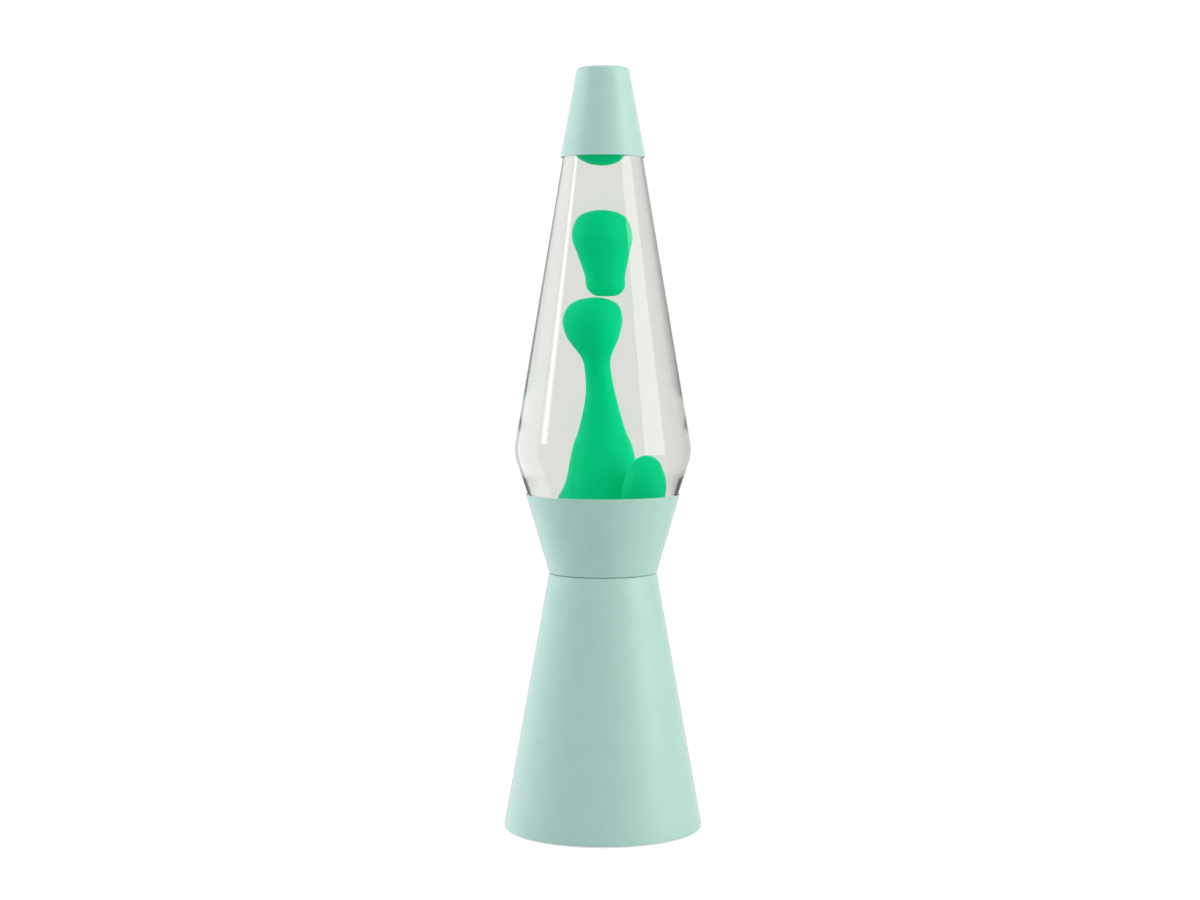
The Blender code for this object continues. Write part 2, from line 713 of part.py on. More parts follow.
def make_bulb(glass, brass, black, tungsten, spin_group, slide_group):
    """A reflector bulb, measured up from the tip of its centre contact."""
    neck_radius = SCREW_RADIUS - SCREW_SHEET - GAP * 1.5
    neck_foot = BULB_NECK_Z - BULB_NECK_LENGTH
    envelope = [
        (0, BULB_LENGTH, 0),
        (BULB_RADIUS / 2, BULB_LENGTH, 0.0300),
        (BULB_RADIUS - BULB_BRIM_WIDTH, BULB_LENGTH - BULB_FACE_RISE, 0.0035),
        (BULB_RADIUS, BULB_LENGTH - BULB_BRIM_DEPTH, 0.0060),
        (BULB_RADIUS - BULB_BOWL_INSET, BULB_LENGTH - BULB_BOWL_DEPTH, 0.0100),
        (neck_radius + BULB_THROAT_WIDTH, BULB_NECK_Z + BULB_THROAT_RISE, 0.0080),
        (neck_radius, BULB_NECK_Z + GAP, 0),
        (neck_radius, neck_foot, 0),
    ]
    inside = offset(envelope, -BULB_WALL)
    outline = filleted(envelope) + filleted(inside)[::-1]
    finished("bulb_glass", turned(outline, SMALL_STEPS), glass, spin_group)

    low = BULB_NECK_Z - SCREW_LENGTH
    bore = SCREW_RADIUS - SCREW_SHEET
    shell = [
        (SCREW_RADIUS, BULB_NECK_Z, 0),
        (SCREW_RADIUS, low, 0.0012),
        (SCREW_FLOOR_RADIUS, low, 0),
        (SCREW_FLOOR_RADIUS, low + SCREW_SHEET, 0),
        (bore, low + SCREW_SHEET, 0.0010),
        (bore, BULB_NECK_Z, 0),
    ]
    screw_shell = turned(filleted(shell, closed=True), SMALL_STEPS, closed=True)
    finished("bulb_screw_shell", screw_shell, brass, spin_group)

    seat = low - GAP
    insulator = [
        (0, seat, 0),
        (INSULATOR_RADIUS, seat, 0),
        (CONTACT_RADIUS + GAP * 2, CONTACT_HEIGHT + GAP, 0),
        (0, CONTACT_HEIGHT + GAP, 0),
    ]
    finished("bulb_insulator", turned(filleted(insulator), SMALL_STEPS), black, slide_group)
    contact = [
        (0, CONTACT_HEIGHT, 0),
        (CONTACT_RADIUS, CONTACT_HEIGHT, 0),
        (CONTACT_RADIUS, 0, CONTACT_HEIGHT - GAP),
        (0, 0, 0),
    ]
    finished("bulb_contact", turned(filleted(contact), NUT_STEPS), brass, slide_group)

    stem = [
        (0, STEM_HEIGHT, 0),
        (0.0016, STEM_HEIGHT, 0.0006),
        (0.0018, STEM_HEIGHT - 0.0060, 0.0040),
        (neck_radius - BULB_WALL - GAP * 2, neck_foot, 0),
        (0, neck_foot, 0),
    ]
    finished("bulb_stem", turned(filleted(stem, pieces=1), NUT_STEPS), glass, spin_group)
    make_filament(tungsten, spin_group)


def make_filament(tungsten, group):
    """Two lead wires that rise from the stem and open to hold the filament, as one bent wire."""
    low, high = STEM_HEIGHT + GAP * 2, FILAMENT_HEIGHT
    leads = [(0.0008, low), (0.0012, low + 0.0030), (FILAMENT_REACH, high - 0.0020)]
    half = FILAMENT_REACH - 0.0016
    turn = [math.pi * step / 6 for step in range(7)]
    arc = [(-half * math.cos(a), high + 0.0022 * math.sin(a)) for a in turn]
    route = [(-x, z) for x, z in leads] + arc + leads[::-1]
    curve = bpy.data.curves.new("bulb_filament", "CURVE")
    curve.dimensions = "3D"
    curve.bevel_depth = FILAMENT_WIRE
    curve.bevel_resolution = 1
    curve.use_fill_caps = True
    spline = curve.splines.new("POLY")
    spline.points.add(len(route) - 1)
    for point, (x, z) in zip(spline.points, route):
        point.co = (x, 0.0, z, 1.0)
    curve.materials.append(tungsten)
    filament = bpy.data.objects.new("bulb_filament", curve)
    filament.parent = group
    bpy.context.scene.collection.objects.link(filament)


def make_lampholder(black, ceramic, brass, steel, bridge_top):
    """The holder's shell, its ceramic insert, threaded sleeve, spring contact and terminal screws."""
    floor = bridge_top + GAP
    top = floor + HOLDER_HEIGHT
    bore = HOLDER_RADIUS - HOLDER_WALL
    shell = [
        (HOLDER_RADIUS - HOLDER_TAPER, top, 0.0010),
        (HOLDER_RADIUS, floor, 0.0020),
        (NIPPLE_RADIUS + GAP, floor, 0),
        (NIPPLE_RADIUS + GAP, floor + HOLDER_WALL, 0),
        (bore, floor + HOLDER_WALL, 0.0008),
        (bore - HOLDER_TAPER, top, 0.0005),
    ]
    holder = turned(filleted(shell, closed=True), SMALL_STEPS, closed=True)
    finished("lampholder_shell", holder, black)

    sleeve_bore = SCREW_RADIUS + GAP
    sleeve_out = sleeve_bore + SLEEVE_SHEET
    insert_bore = sleeve_out + GAP
    insert_out = min(insert_bore + INSERT_WALL, bore - HOLDER_TAPER - GAP * 2)
    seat = BULB_TIP_Z - CONTACT_SPRING_DROP
    insert_low = seat - INSERT_WALL
    insert_top = top - HOLDER_WALL
    insert = [
        (0, insert_low, 0),
        (insert_out, insert_low, 0.0008),
        (insert_out, insert_top, 0.0006),
        (insert_bore, insert_top, 0),
        (insert_bore, seat, 0),
        (0, seat, 0),
    ]
    insert_piece = finished("lampholder_insert", turned(filleted(insert), SMALL_STEPS), ceramic)

    sleeve_low = BULB_TIP_Z + SLEEVE_RISE
    sleeve = [
        (sleeve_out, insert_top - GAP),
        (sleeve_out, sleeve_low),
        (sleeve_bore, sleeve_low),
        (sleeve_bore, insert_top - GAP),
    ]
    finished("lampholder_sleeve", turned(sleeve, SMALL_STEPS, closed=True), brass)

    centreline = [
        (-SPRING_REACH, seat + GAP + SPRING_SHEET / 2, 0),
        (SPRING_REACH, seat + GAP + SPRING_SHEET / 2, 0.0006),
        (SPRING_REACH - 0.0010, BULB_TIP_Z - GAP * 2 - SPRING_SHEET, 0.0010),
        (-SPRING_REACH / 2, BULB_TIP_Z - GAP - SPRING_SHEET / 2, 0),
    ]
    spring = bent_strip(centreline, SPRING_SHEET, CONTACT_RADIUS * 2)
    finished("lampholder_contact", spring, brass)

    places = spread(2, TERMINAL_CIRCLE, math.radians(90))
    holes = [circle(BOLT_RADIUS + GAP, place) for place in places]
    sockets = prisms(holes, insert_low - INSERT_WALL, insert_low + TERMINAL_LENGTH + GAP)
    cut(insert_piece, cutter("terminal_sockets", sockets))
    turned_over = (math.pi, 0, 0)
    for number, place in enumerate(places, 1):
        at = (*place, insert_low - GAP)
        piece = bolt(TERMINAL_LENGTH)
        finished(f"terminal_screw_{number}", piece, steel, location=at, rotation=turned_over)


def bent_strip(centreline, thickness, width):
    """A bent strip of sheet: its centre line in X and Z is thickened, then extruded along Y."""
    left = offset(centreline, thickness / 2)
    right = offset(centreline, -thickness / 2)
    outline = filleted(left, pieces=3) + filleted(right, pieces=3)[::-1]
    shape = prisms([[(x, z) for x, z in outline]], -width / 2, width / 2)
    shape.transform(Matrix.Rotation(math.radians(90), 4, "X"))
    return shape


def make_bridge(steel, bridge_top):
    """A bracket bent from strip, with two legs, two feet and a top that the nipple passes."""
    half = BRIDGE_SHEET / 2
    leg = BRIDGE_SPAN - half
    low = PLATE_TOP_Z + GAP + half
    high = bridge_top - half
    centreline = [
        (-leg - BRIDGE_FOOT, low, 0),
        (-leg, low, BRIDGE_BEND),
        (-leg, high, BRIDGE_BEND),
        (leg, high, BRIDGE_BEND),
        (leg, low, BRIDGE_BEND),
        (leg + BRIDGE_FOOT, low, 0),
    ]
    return finished("bridge", bent_strip(centreline, BRIDGE_SHEET, BRIDGE_WIDTH), steel)


def make_nipple(steel, bridge, bridge_top):
    """The threaded tube that clamps the lampholder to the bridge between two nuts."""
    upper_seat = bridge_top + GAP + HOLDER_WALL + GAP
    lower_seat = bridge_top - BRIDGE_SHEET - GAP - NUT_HEIGHT
    low = (upper_seat + lower_seat + NUT_HEIGHT) / 2 - NIPPLE_LENGTH / 2
    tube = [
        (NIPPLE_RADIUS, low + NIPPLE_LENGTH, 0.0004),
        (NIPPLE_RADIUS, low, 0.0004),
        (NIPPLE_BORE, low, 0),
        (NIPPLE_BORE, low + NIPPLE_LENGTH, 0),
    ]
    finished("nipple", turned(filleted(tube, pieces=1, closed=True), SMALL_STEPS, closed=True), steel)
    hole = prisms([circle(NIPPLE_RADIUS + GAP, steps=SMALL_STEPS)], lower_seat, upper_seat)
    cut(bridge, cutter("nipple_hole", hole))
    for name, seat in (("nipple_nut_upper", upper_seat), ("nipple_nut_lower", lower_seat)):
        nut = hexagon_nut(NIPPLE_NUT_FLATS, NUT_HEIGHT, NIPPLE_RADIUS + GAP * 2)
        finished(name, nut, steel, location=(0, 0, seat))


def make_base_plate(steel):
    radius = BASE_RADIUS - HEM_WIDTH - PLATE_GAP
    outline = [(0, PLATE_TOP_Z, 0), (radius, PLATE_TOP_Z, 0), (radius, PLATE_Z, 0.0004), (0, PLATE_Z, 0)]
    plate = finished("base_plate", turned(filleted(outline, pieces=1)), steel)
    vents = []
    for x, y in spread(VENT_COUNT, VENT_CIRCLE, math.radians(22.5)):
        vents.append(slot(VENT_LENGTH, VENT_WIDTH, (x, y), math.atan2(y, x)))
    cut(plate, cutter("vent_slots", prisms(vents, PLATE_Z - PLATE_SHEET, PLATE_TOP_Z + PLATE_SHEET)))
    return plate, radius


def make_under_bolts(steel, plate, cone, bridge):
    """Bolts from below: three hold the plate to the cone's ledge, and two hold the bridge."""
    head_z = PLATE_Z - GAP
    low = PLATE_Z - PLATE_SHEET
    turned_over = (math.pi, 0, 0)

    ledge_places = spread(3, BASE_RADIUS - HEM_WIDTH - LEDGE_WIDTH / 2, math.radians(90))
    ledge_end = LEDGE_Z + CONE_WALL * 2
    holes = [circle(BOLT_RADIUS + GAP, place) for place in ledge_places]
    ledge_holes = cutter("ledge_holes", prisms(holes, low, ledge_end))
    cut(plate, ledge_holes)
    cut(cone, ledge_holes)
    for number, place in enumerate(ledge_places, 1):
        piece = bolt(ledge_end - head_z)
        finished(f"plate_bolt_{number}", piece, steel, location=(*place, head_z), rotation=turned_over)

    foot_middle = BRIDGE_SPAN + BRIDGE_FOOT / 2
    bridge_places = [(foot_middle, 0), (-foot_middle, 0)]
    nut_z = PLATE_TOP_Z + GAP + BRIDGE_SHEET + GAP
    bridge_end = nut_z + NUT_HEIGHT + BOLT_RADIUS / 2
    holes = [circle(BOLT_RADIUS + GAP, place) for place in bridge_places]
    bridge_holes = cutter("bridge_holes", prisms(holes, low, nut_z + GAP))
    cut(plate, bridge_holes)
    cut(bridge, bridge_holes)
    for number, place in enumerate(bridge_places, 1):
        piece = bolt(bridge_end - head_z)
        finished(f"bridge_bolt_{number}", piece, steel, location=(*place, head_z), rotation=turned_over)
        nut = hexagon_nut(NUT_FLATS, NUT_HEIGHT, BOLT_RADIUS + GAP)
        finished(f"bridge_nut_{number}", nut, steel, location=(*place, nut_z))


def make_feet(rubber, plate_radius):
    height = PLATE_Z - GAP
    pad = [(0, height, 0), (FOOT_RADIUS, height, 0), (FOOT_RADIUS - FOOT_DRAFT, 0, 0.0004), (0, 0, 0)]
    for number, place in enumerate(spread(4, plate_radius - FOOT_INSET, math.radians(45)), 1):
        foot = turned(filleted(pad, pieces=1), SMALL_STEPS)
        finished(f"foot_{number}", foot, rubber, location=(*place, 0))


def make_inlet(rubber, cone):
    """A rubber bush in the back of the cone that the cord passes. Its axis is square to the wall."""
    lean = math.atan(CONE_SLOPE)
    centre = (0, cone_radius(INLET_HEIGHT), INLET_HEIGHT)
    rotation = (lean - math.radians(90), 0, 0)
    barrel = INLET_BORE + INLET_WALL
    hole = barrel + GAP
    flange = barrel + INLET_FLANGE
    wall_curve = flange**2 / (2 * centre[1]) + centre[1] * (1 - math.cos(math.pi / ROUND_STEPS))
    inner_face = -CONE_WALL - GAP - wall_curve
    outline = [
        (INLET_BORE, GAP + INLET_LIP, 0.0006),
        (flange, GAP + INLET_LIP, 0.0006),
        (flange, GAP, 0),
        (barrel, GAP, 0),
        (barrel, inner_face, 0),
        (flange, inner_face, 0),
        (flange, inner_face - INLET_LIP, 0.0006),
        (INLET_BORE, inner_face - INLET_LIP, 0.0006),
    ]
    bush = turned(filleted(outline, pieces=1, closed=True), SMALL_STEPS, closed=True)
    finished("cord_bush", bush, rubber, location=centre, rotation=rotation)
    drill = prisms([circle(hole, steps=SMALL_STEPS)], -CONE_WALL * 4, CONE_WALL * 3)
    cut(cone, cutter("cord_hole", drill, location=centre, rotation=rotation))


def clear_scene():
    for item in list(bpy.context.scene.objects):
        bpy.data.objects.remove(item, do_unlink=True)


def main():
    clear_scene()
    mint = finish("mint_paint", (0.42, 0.62, 0.57), 0.55)
    glass = finish("clear_glass", (0.95, 0.96, 0.95), 0.02, transmission=1.0)
    water = finish("clear_liquid", (0.90, 0.92, 0.90), 0.02, transmission=1.0)
    wax = finish("green_wax", (0.0, 0.50, 0.19), 0.45)
    zinc = finish("zinc_steel", (0.62, 0.63, 0.64), 0.35, metallic=1.0)
    brass = finish("brass", (0.75, 0.58, 0.28), 0.30, metallic=1.0)
    wire = finish("dark_wire", (0.25, 0.25, 0.26), 0.40, metallic=1.0)
    tinplate = finish("tinplate", (0.78, 0.78, 0.76), 0.30, metallic=1.0)
    black = finish("black_phenolic", (0.02, 0.02, 0.02), 0.40)
    ceramic = finish("white_ceramic", (0.85, 0.84, 0.80), 0.35)
    rubber = finish("black_rubber", (0.03, 0.03, 0.03), 0.75)
    liner = finish("grey_liner", (0.55, 0.55, 0.52), 0.60)

    bottle_group = axis_empty("bottle_lift")
    cap_group = axis_empty("cap_lift", bottle_group)
    wax_groups = {name: axis_empty(f"{name}_travel", bottle_group) for name in ("blob", "mound", "dome")}
    slide_group = axis_empty("bulb_travel", height=BULB_TIP_Z)
    spin_group = axis_empty("bulb_turn", slide_group)

    make_cap(mint, cap_group)
    make_bottle(glass, bottle_group)
    make_crown(tinplate, liner, bottle_group)
    spaces = make_wax(wax, bottle_group, wax_groups)
    make_liquid(water, bottle_group, spaces)
    make_coil(wire, bottle_group)

    cup = make_cup(mint)
    cone = make_cone(mint)
    make_waist_fasteners(zinc, cup, cone)

    make_bulb(glass, brass, black, wire, spin_group, slide_group)
    bridge_top = BULB_TIP_Z - HOLDER_DROP
    make_lampholder(black, ceramic, brass, zinc, bridge_top)
    bridge = make_bridge(zinc, bridge_top)
    make_nipple(zinc, bridge, bridge_top)

    plate, plate_radius = make_base_plate(zinc)
    make_under_bolts(zinc, plate, cone, bridge)
    make_feet(rubber, plate_radius)
    make_inlet(rubber, cone)


main()
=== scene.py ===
import math
import bpy
import bmesh
import numpy as np
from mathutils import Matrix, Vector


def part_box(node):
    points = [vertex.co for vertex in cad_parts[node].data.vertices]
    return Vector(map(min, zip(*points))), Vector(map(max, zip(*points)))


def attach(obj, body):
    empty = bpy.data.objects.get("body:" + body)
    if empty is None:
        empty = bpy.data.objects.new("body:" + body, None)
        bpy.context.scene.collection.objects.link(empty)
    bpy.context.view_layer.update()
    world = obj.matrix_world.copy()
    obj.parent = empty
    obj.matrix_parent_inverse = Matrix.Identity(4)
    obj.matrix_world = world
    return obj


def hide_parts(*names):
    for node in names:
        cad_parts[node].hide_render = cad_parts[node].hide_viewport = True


# A lava lamp: two painted cones, a tapered bottle of clear liquid and green wax, and a tall cap.
# Metres, +Z up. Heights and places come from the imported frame, fine sizes from the dictionaries.

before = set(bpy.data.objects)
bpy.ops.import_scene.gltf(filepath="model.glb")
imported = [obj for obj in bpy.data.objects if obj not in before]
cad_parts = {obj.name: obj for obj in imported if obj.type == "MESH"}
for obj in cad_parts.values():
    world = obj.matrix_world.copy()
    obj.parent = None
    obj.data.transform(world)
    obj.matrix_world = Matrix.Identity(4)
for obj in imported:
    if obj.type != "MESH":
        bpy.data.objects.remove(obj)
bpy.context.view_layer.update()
print("frame loaded:", len(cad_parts), "nodes")


# Finishes

def newFinish(name, roughness=0.5, metallic=0.0, **sockets):
    material = bpy.data.materials.new(name)
    material.use_nodes = True
    shader = material.node_tree.nodes["Principled BSDF"]
    shader.inputs["Roughness"].default_value = roughness
    shader.inputs["Metallic"].default_value = metallic
    for key, value in sockets.items():
        shader.inputs[key.replace("_", " ")].default_value = value
    return material


def addNode(material, kind, settings=None, **inputs):
    # Adds a node; an input is a value, or a (node, output name) pair to link from
    tree = material.node_tree
    node = tree.nodes.new(kind)
    for key, value in (settings or {}).items():
        setattr(node, key, value)
    for key, value in inputs.items():
        socket = node.inputs[key.replace("_", " ")]
        if isinstance(value, tuple) and isinstance(value[0], bpy.types.Node):
            tree.links.new(value[0].outputs[value[1]], socket)
        else:
            socket.default_value = value
    return node


def speckle(material, grain, detail=3.0, stretch=(1.0, 1.0, 1.0)):
    # Noise on Object coordinates; grain is the size of one patch in metres
    place = addNode(material, "ShaderNodeTexCoord")
    scaled = addNode(material, "ShaderNodeMapping", Vector=(place, "Object"), Scale=stretch)
    return addNode(material, "ShaderNodeTexNoise", Vector=(scaled, "Vector"), Scale=1.0 / grain,
                   Detail=detail)


def spreadOver(material, source, low, high, socket, output="Fac"):
    # Maps a noise's middle range to a value between low and high, and links it to the shader
    span = addNode(material, "ShaderNodeMapRange", Value=(source, output))
    for key, value in {"From Min": 0.3, "From Max": 0.7, "To Min": low, "To Max": high}.items():
        span.inputs[key].default_value = value
    shader = material.node_tree.nodes["Principled BSDF"]
    material.node_tree.links.new(span.outputs["Result"], shader.inputs[socket])


def tintOver(material, source, first, second, output="Fac"):
    # Base colour = a ramp from one linear colour to another along the noise
    ramp = addNode(material, "ShaderNodeValToRGB", Fac=(source, output))
    ramp.color_ramp.elements[0].position, ramp.color_ramp.elements[1].position = 0.3, 0.7
    ramp.color_ramp.elements[0].color = (*first, 1.0)
    ramp.color_ramp.elements[1].color = (*second, 1.0)
    shader = material.node_tree.nodes["Principled BSDF"]
    material.node_tree.links.new(ramp.outputs["Color"], shader.inputs["Base Color"])


def raiseBy(material, source, height, output="Fac"):
    # Bump whose whole height is given in metres
    bump = addNode(material, "ShaderNodeBump", Height=(source, output), Distance=height)
    shader = material.node_tree.nodes["Principled BSDF"]
    material.node_tree.links.new(bump.outputs["Normal"], shader.inputs["Normal"])


paintLook = {"light": (0.412, 0.650, 0.594), "dark": (0.390, 0.626, 0.570), "roughness": (0.40, 0.52)}
waxLook = {"light": (0.0, 0.490, 0.205), "dark": (0.0, 0.445, 0.186), "roughness": 0.30,
           "glow": (0.0, 0.820, 0.310), "glowStrength": 0.24}  # stands for the light of the bulb below
liquidLook = {"clear": (0.96, 0.96, 0.93), "cloudy": (0.94, 0.94, 0.91)}


def mintPaint():
    made = newFinish("mintPaint", Specular_IOR_Level=0.75, Sheen_Weight=1.0, Sheen_Roughness=0.35)
    tintOver(made, speckle(made, 0.012, 5.0), paintLook["dark"], paintLook["light"])
    spreadOver(made, speckle(made, 0.0011), *paintLook["roughness"], "Roughness")
    raiseBy(made, speckle(made, 0.00055, 4.0), 0.00007)
    return made


def clearGlass(name="clearGlass", **sockets):
    made = newFinish(name, 0.0, IOR=1.5, Transmission_Weight=1.0, **sockets)
    tintOver(made, speckle(made, 0.05, 1.0), (0.975, 0.980, 0.975), (0.985, 0.990, 0.985))
    raiseBy(made, speckle(made, 0.045, 1.0, (1.0, 1.0, 0.3)), 0.00012)
    return made


def clearLiquid():
    # Where liquid touches glass almost nothing is mirrored, so its own gloss is tinted away
    made = newFinish("clearLiquid", 0.0, IOR=1.345, Transmission_Weight=1.0, Specular_Tint=(0, 0, 0, 1))
    tintOver(made, speckle(made, 0.06, 1.0), liquidLook["cloudy"], liquidLook["clear"])
    return made


def greenWax():
    made = newFinish("greenWax", waxLook["roughness"], IOR=1.07,
                     Subsurface_Weight=0.6, Subsurface_Scale=0.010, Subsurface_Radius=(0.4, 1.0, 0.7),
                     Emission_Color=(*waxLook["glow"], 1.0), Emission_Strength=waxLook["glowStrength"])
    tintOver(made, speckle(made, 0.022, 2.0), waxLook["dark"], waxLook["light"])
    raiseBy(made, speckle(made, 0.010, 1.0), 0.00012)
    return made


def bareMetal(name, dark, light, roughness, grain=0.0009, stretch=(1.0, 1.0, 1.0), height=0.00001):
    made = newFinish(name, metallic=1.0)
    tintOver(made, speckle(made, grain * 8, 4.0), dark, light)
    spreadOver(made, speckle(made, grain, 3.0, stretch), roughness - 0.08, roughness + 0.10, "Roughness")
    raiseBy(made, speckle(made, grain * 0.6, 3.0, stretch), height)
    return made


def moulded(name, dark, light, roughness, grain=0.0006, height=0.00003, **sockets):
    made = newFinish(name, **sockets)
    tintOver(made, speckle(made, grain * 12, 4.0), dark, light)
    spreadOver(made, speckle(made, grain * 3), roughness - 0.07, roughness + 0.07, "Roughness")
    raiseBy(made, speckle(made, grain, 3.0), height)
    return made


def silveredGlass():
    # Mirror coat on the reflector's bowl, frosted glass on its face: a step on height
    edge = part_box("bulb_glass")[1].z - bulbLook["brimDepth"]
    made = newFinish("silveredGlass", IOR=1.5)
    place = addNode(made, "ShaderNodeTexCoord")
    parts = addNode(made, "ShaderNodeSeparateXYZ", Vector=(place, "Object"))
    step = addNode(made, "ShaderNodeMapRange", Value=(parts, "Z"))
    for key, value in {"From Min": edge - 0.0002, "From Max": edge + 0.0002}.items():
        step.inputs[key].default_value = value
    back = addNode(made, "ShaderNodeMath", {"operation": "SUBTRACT"})
    back.inputs[0].default_value = 1.0
    made.node_tree.links.new(step.outputs["Result"], back.inputs[1])
    shader = made.node_tree.nodes["Principled BSDF"]
    made.node_tree.links.new(step.outputs["Result"], shader.inputs["Transmission Weight"])
    made.node_tree.links.new(back.outputs[0], shader.inputs["Metallic"])
    frost = speckle(made, 0.0004, 3.0)
    tintOver(made, speckle(made, 0.009), (0.88, 0.88, 0.87), (0.93, 0.93, 0.92))
    spreadOver(made, frost, 0.16, 0.30, "Roughness")
    raiseBy(made, frost, 0.00002)
    return made


finishes = {
    "mint_paint": mintPaint(),
    "clear_glass": clearGlass(),
    "clear_liquid": clearLiquid(),
    "green_wax": greenWax(),
    "tinplate": bareMetal("tinplate", (0.66, 0.66, 0.65), (0.78, 0.78, 0.77), 0.24),
    "zinc_steel": bareMetal("zincSteel", (0.50, 0.51, 0.52), (0.64, 0.65, 0.67), 0.34),
    "brass": bareMetal("brass", (0.62, 0.44, 0.19), (0.76, 0.57, 0.27), 0.26),
    "dark_wire": bareMetal("darkWire", (0.20, 0.20, 0.21), (0.30, 0.30, 0.31), 0.36),
    "grey_liner": moulded("greyLiner", (0.46, 0.46, 0.44), (0.54, 0.54, 0.52), 0.50),
    "black_phenolic": moulded("blackPhenolic", (0.016, 0.015, 0.014), (0.026, 0.025, 0.024), 0.32),
    "white_ceramic": moulded("whiteCeramic", (0.72, 0.70, 0.65), (0.80, 0.78, 0.73), 0.30),
    "black_rubber": moulded("blackRubber", (0.020, 0.020, 0.020), (0.034, 0.034, 0.033), 0.66,
                            height=0.00006),
}
print("finishes made:", len(finishes))


# Shapes

def arcAt(before, here, after, fillet, steps):
    # centre = corner + bisector * fillet / sin(half); the arc turns about it from one side to the other
    towards, onwards = before - here, after - here
    reach = 0.48 * min(np.linalg.norm(towards), np.linalg.norm(onwards))
    towards, onwards = towards / np.linalg.norm(towards), onwards / np.linalg.norm(onwards)
    half = math.acos(float(np.clip(towards @ onwards, -1, 1))) / 2
    if fillet <= 0 or half > math.radians(89.5):
        return here[None]
    run = min(fillet / math.tan(half), reach)
    size = run * math.tan(half)
    middle = here + (towards + onwards) / np.linalg.norm(towards + onwards) * size / math.sin(half)
    first, last = here + towards * run - middle, here + onwards * run - middle
    sweep = math.atan2(first[0] * last[1] - first[1] * last[0], first @ last)
    turn = sweep * np.linspace(0, 1, steps + 1)
    return middle + np.stack((first[0] * np.cos(turn) - first[1] * np.sin(turn),
                              first[0] * np.sin(turn) + first[1] * np.cos(turn)), axis=1)


def roundedLine(corners, steps=6, closed=False):
    # A line of (radius, height) through (radius, height, fillet) corners, with each fillet as an arc
    flat = np.array([corner[:2] for corner in corners], float)
    parts = []
    for index, corner in enumerate(corners):
        atEnd = not closed and index in (0, len(corners) - 1)
        size = 0 if atEnd or len(corner) < 3 else corner[2]
        following = flat[(index + 1) % len(corners)]
        arc = arcAt(flat[index - 1], flat[index], following, size, steps) if size else flat[index][None]
        parts.append(arc)
    return np.vstack(parts)


def besideLine(corners, distance):
    # A line beside another: each side is shifted along its left normal, and neighbours are crossed
    flat = np.array([corner[:2] for corner in corners], float)
    along = np.diff(flat, axis=0)
    along /= np.linalg.norm(along, axis=1)[:, None]
    shift = np.stack((-along[:, 1], along[:, 0]), axis=1) * distance
    turn = along[:-1, 0] * along[1:, 1] - along[:-1, 1] * along[1:, 0]
    step = shift[1:] - shift[:-1]
    share = (step[:, 0] * along[1:, 1] - step[:, 1] * along[1:, 0]) / turn
    middle = flat[1:-1] + shift[:-1] + along[:-1] * share[:, None]
    points = np.vstack((flat[:1] + shift[:1], middle, flat[-1:] + shift[-1:]))
    fillets = [0.0, *[max(corner[2] - distance * math.copysign(1, bend), 0.0004) if corner[2] else 0.0
                      for corner, bend in zip(corners[1:-1], turn)], 0.0]
    return [(radius, height, fillet) for (radius, height), fillet in zip(points, fillets)]


def sampled(line, spacing):
    # The same line with more points, so that no straight run is longer than the spacing
    lengths = np.linalg.norm(np.diff(line, axis=0), axis=1)
    counts = np.maximum(np.ceil(lengths / spacing).astype(int), 1)
    runs = [a + (b - a) * np.linspace(0, 1, count, endpoint=False)[:, None]
            for a, b, count in zip(line[:-1], line[1:], counts)]
    return np.vstack((*runs, line[-1:]))


def ringSampled(line, spacing):
    return sampled(np.vstack((line, line[:1])), spacing)[:-1]


def turned(line, steps=192, wave=None):
    # P(s, t) = (r cos t, r sin t, z), where wave(r, z, t) may change r and z around the axis
    turn = np.linspace(0, 2 * np.pi, steps, endpoint=False)[None, :]
    radius, height = line[:, :1] + 0 * turn, line[:, 1:2] + 0 * turn
    if wave:
        radius, height = wave(radius, height, turn)
    return np.stack((radius * np.cos(turn), radius * np.sin(turn), height), axis=-1)


def tube(path, radius, outward, sides=8):
    # P(s, t) = path(s) + radius * (normal cos t + binormal sin t), closed along a ring-shaped path
    along = np.roll(path, -1, axis=0) - np.roll(path, 1, axis=0)
    along /= np.linalg.norm(along, axis=1)[:, None]
    normal = outward - along * (outward * along).sum(axis=1)[:, None]
    normal /= np.linalg.norm(normal, axis=1)[:, None]
    binormal = np.cross(along, normal)
    turn = np.linspace(0, 2 * np.pi, sides, endpoint=False)[None, :, None]
    return path[:, None] + radius * (normal[:, None] * np.cos(turn) + binormal[:, None] * np.sin(turn))


def skin(name, *grids, closedAlong=False, sharpAngle=35):
    # One mesh of quads between the neighbours of each grid, closed around; poles merge to a point
    points, faces, count = [], [], 0
    for grid in grids:
        rows, columns = grid.shape[:2]
        index = np.arange(rows * columns).reshape(rows, columns) + count
        index = np.hstack((index, index[:, :1]))
        if closedAlong:
            index = np.vstack((index, index[:1]))
        quads = np.stack((index[:-1, :-1], index[1:, :-1], index[1:, 1:], index[:-1, 1:]), axis=-1)
        faces.append(quads.reshape(-1, 4))
        points.append(grid.reshape(-1, 3))
        count += rows * columns
    mesh = bpy.data.meshes.new(name)
    mesh.from_pydata(np.vstack(points), [], np.vstack(faces))
    shape = bmesh.new()
    shape.from_mesh(mesh)
    bmesh.ops.remove_doubles(shape, verts=shape.verts, dist=1e-7)
    bmesh.ops.recalc_face_normals(shape, faces=shape.faces)
    shape.to_mesh(mesh)
    shape.free()
    return shaded(mesh, sharpAngle)


def shaded(mesh, sharpAngle=35):
    mesh.shade_smooth()
    mesh.set_sharp_from_angle(angle=math.radians(sharpAngle))
    piece = bpy.data.objects.new(mesh.name, mesh)
    bpy.context.scene.collection.objects.link(piece)
    return piece


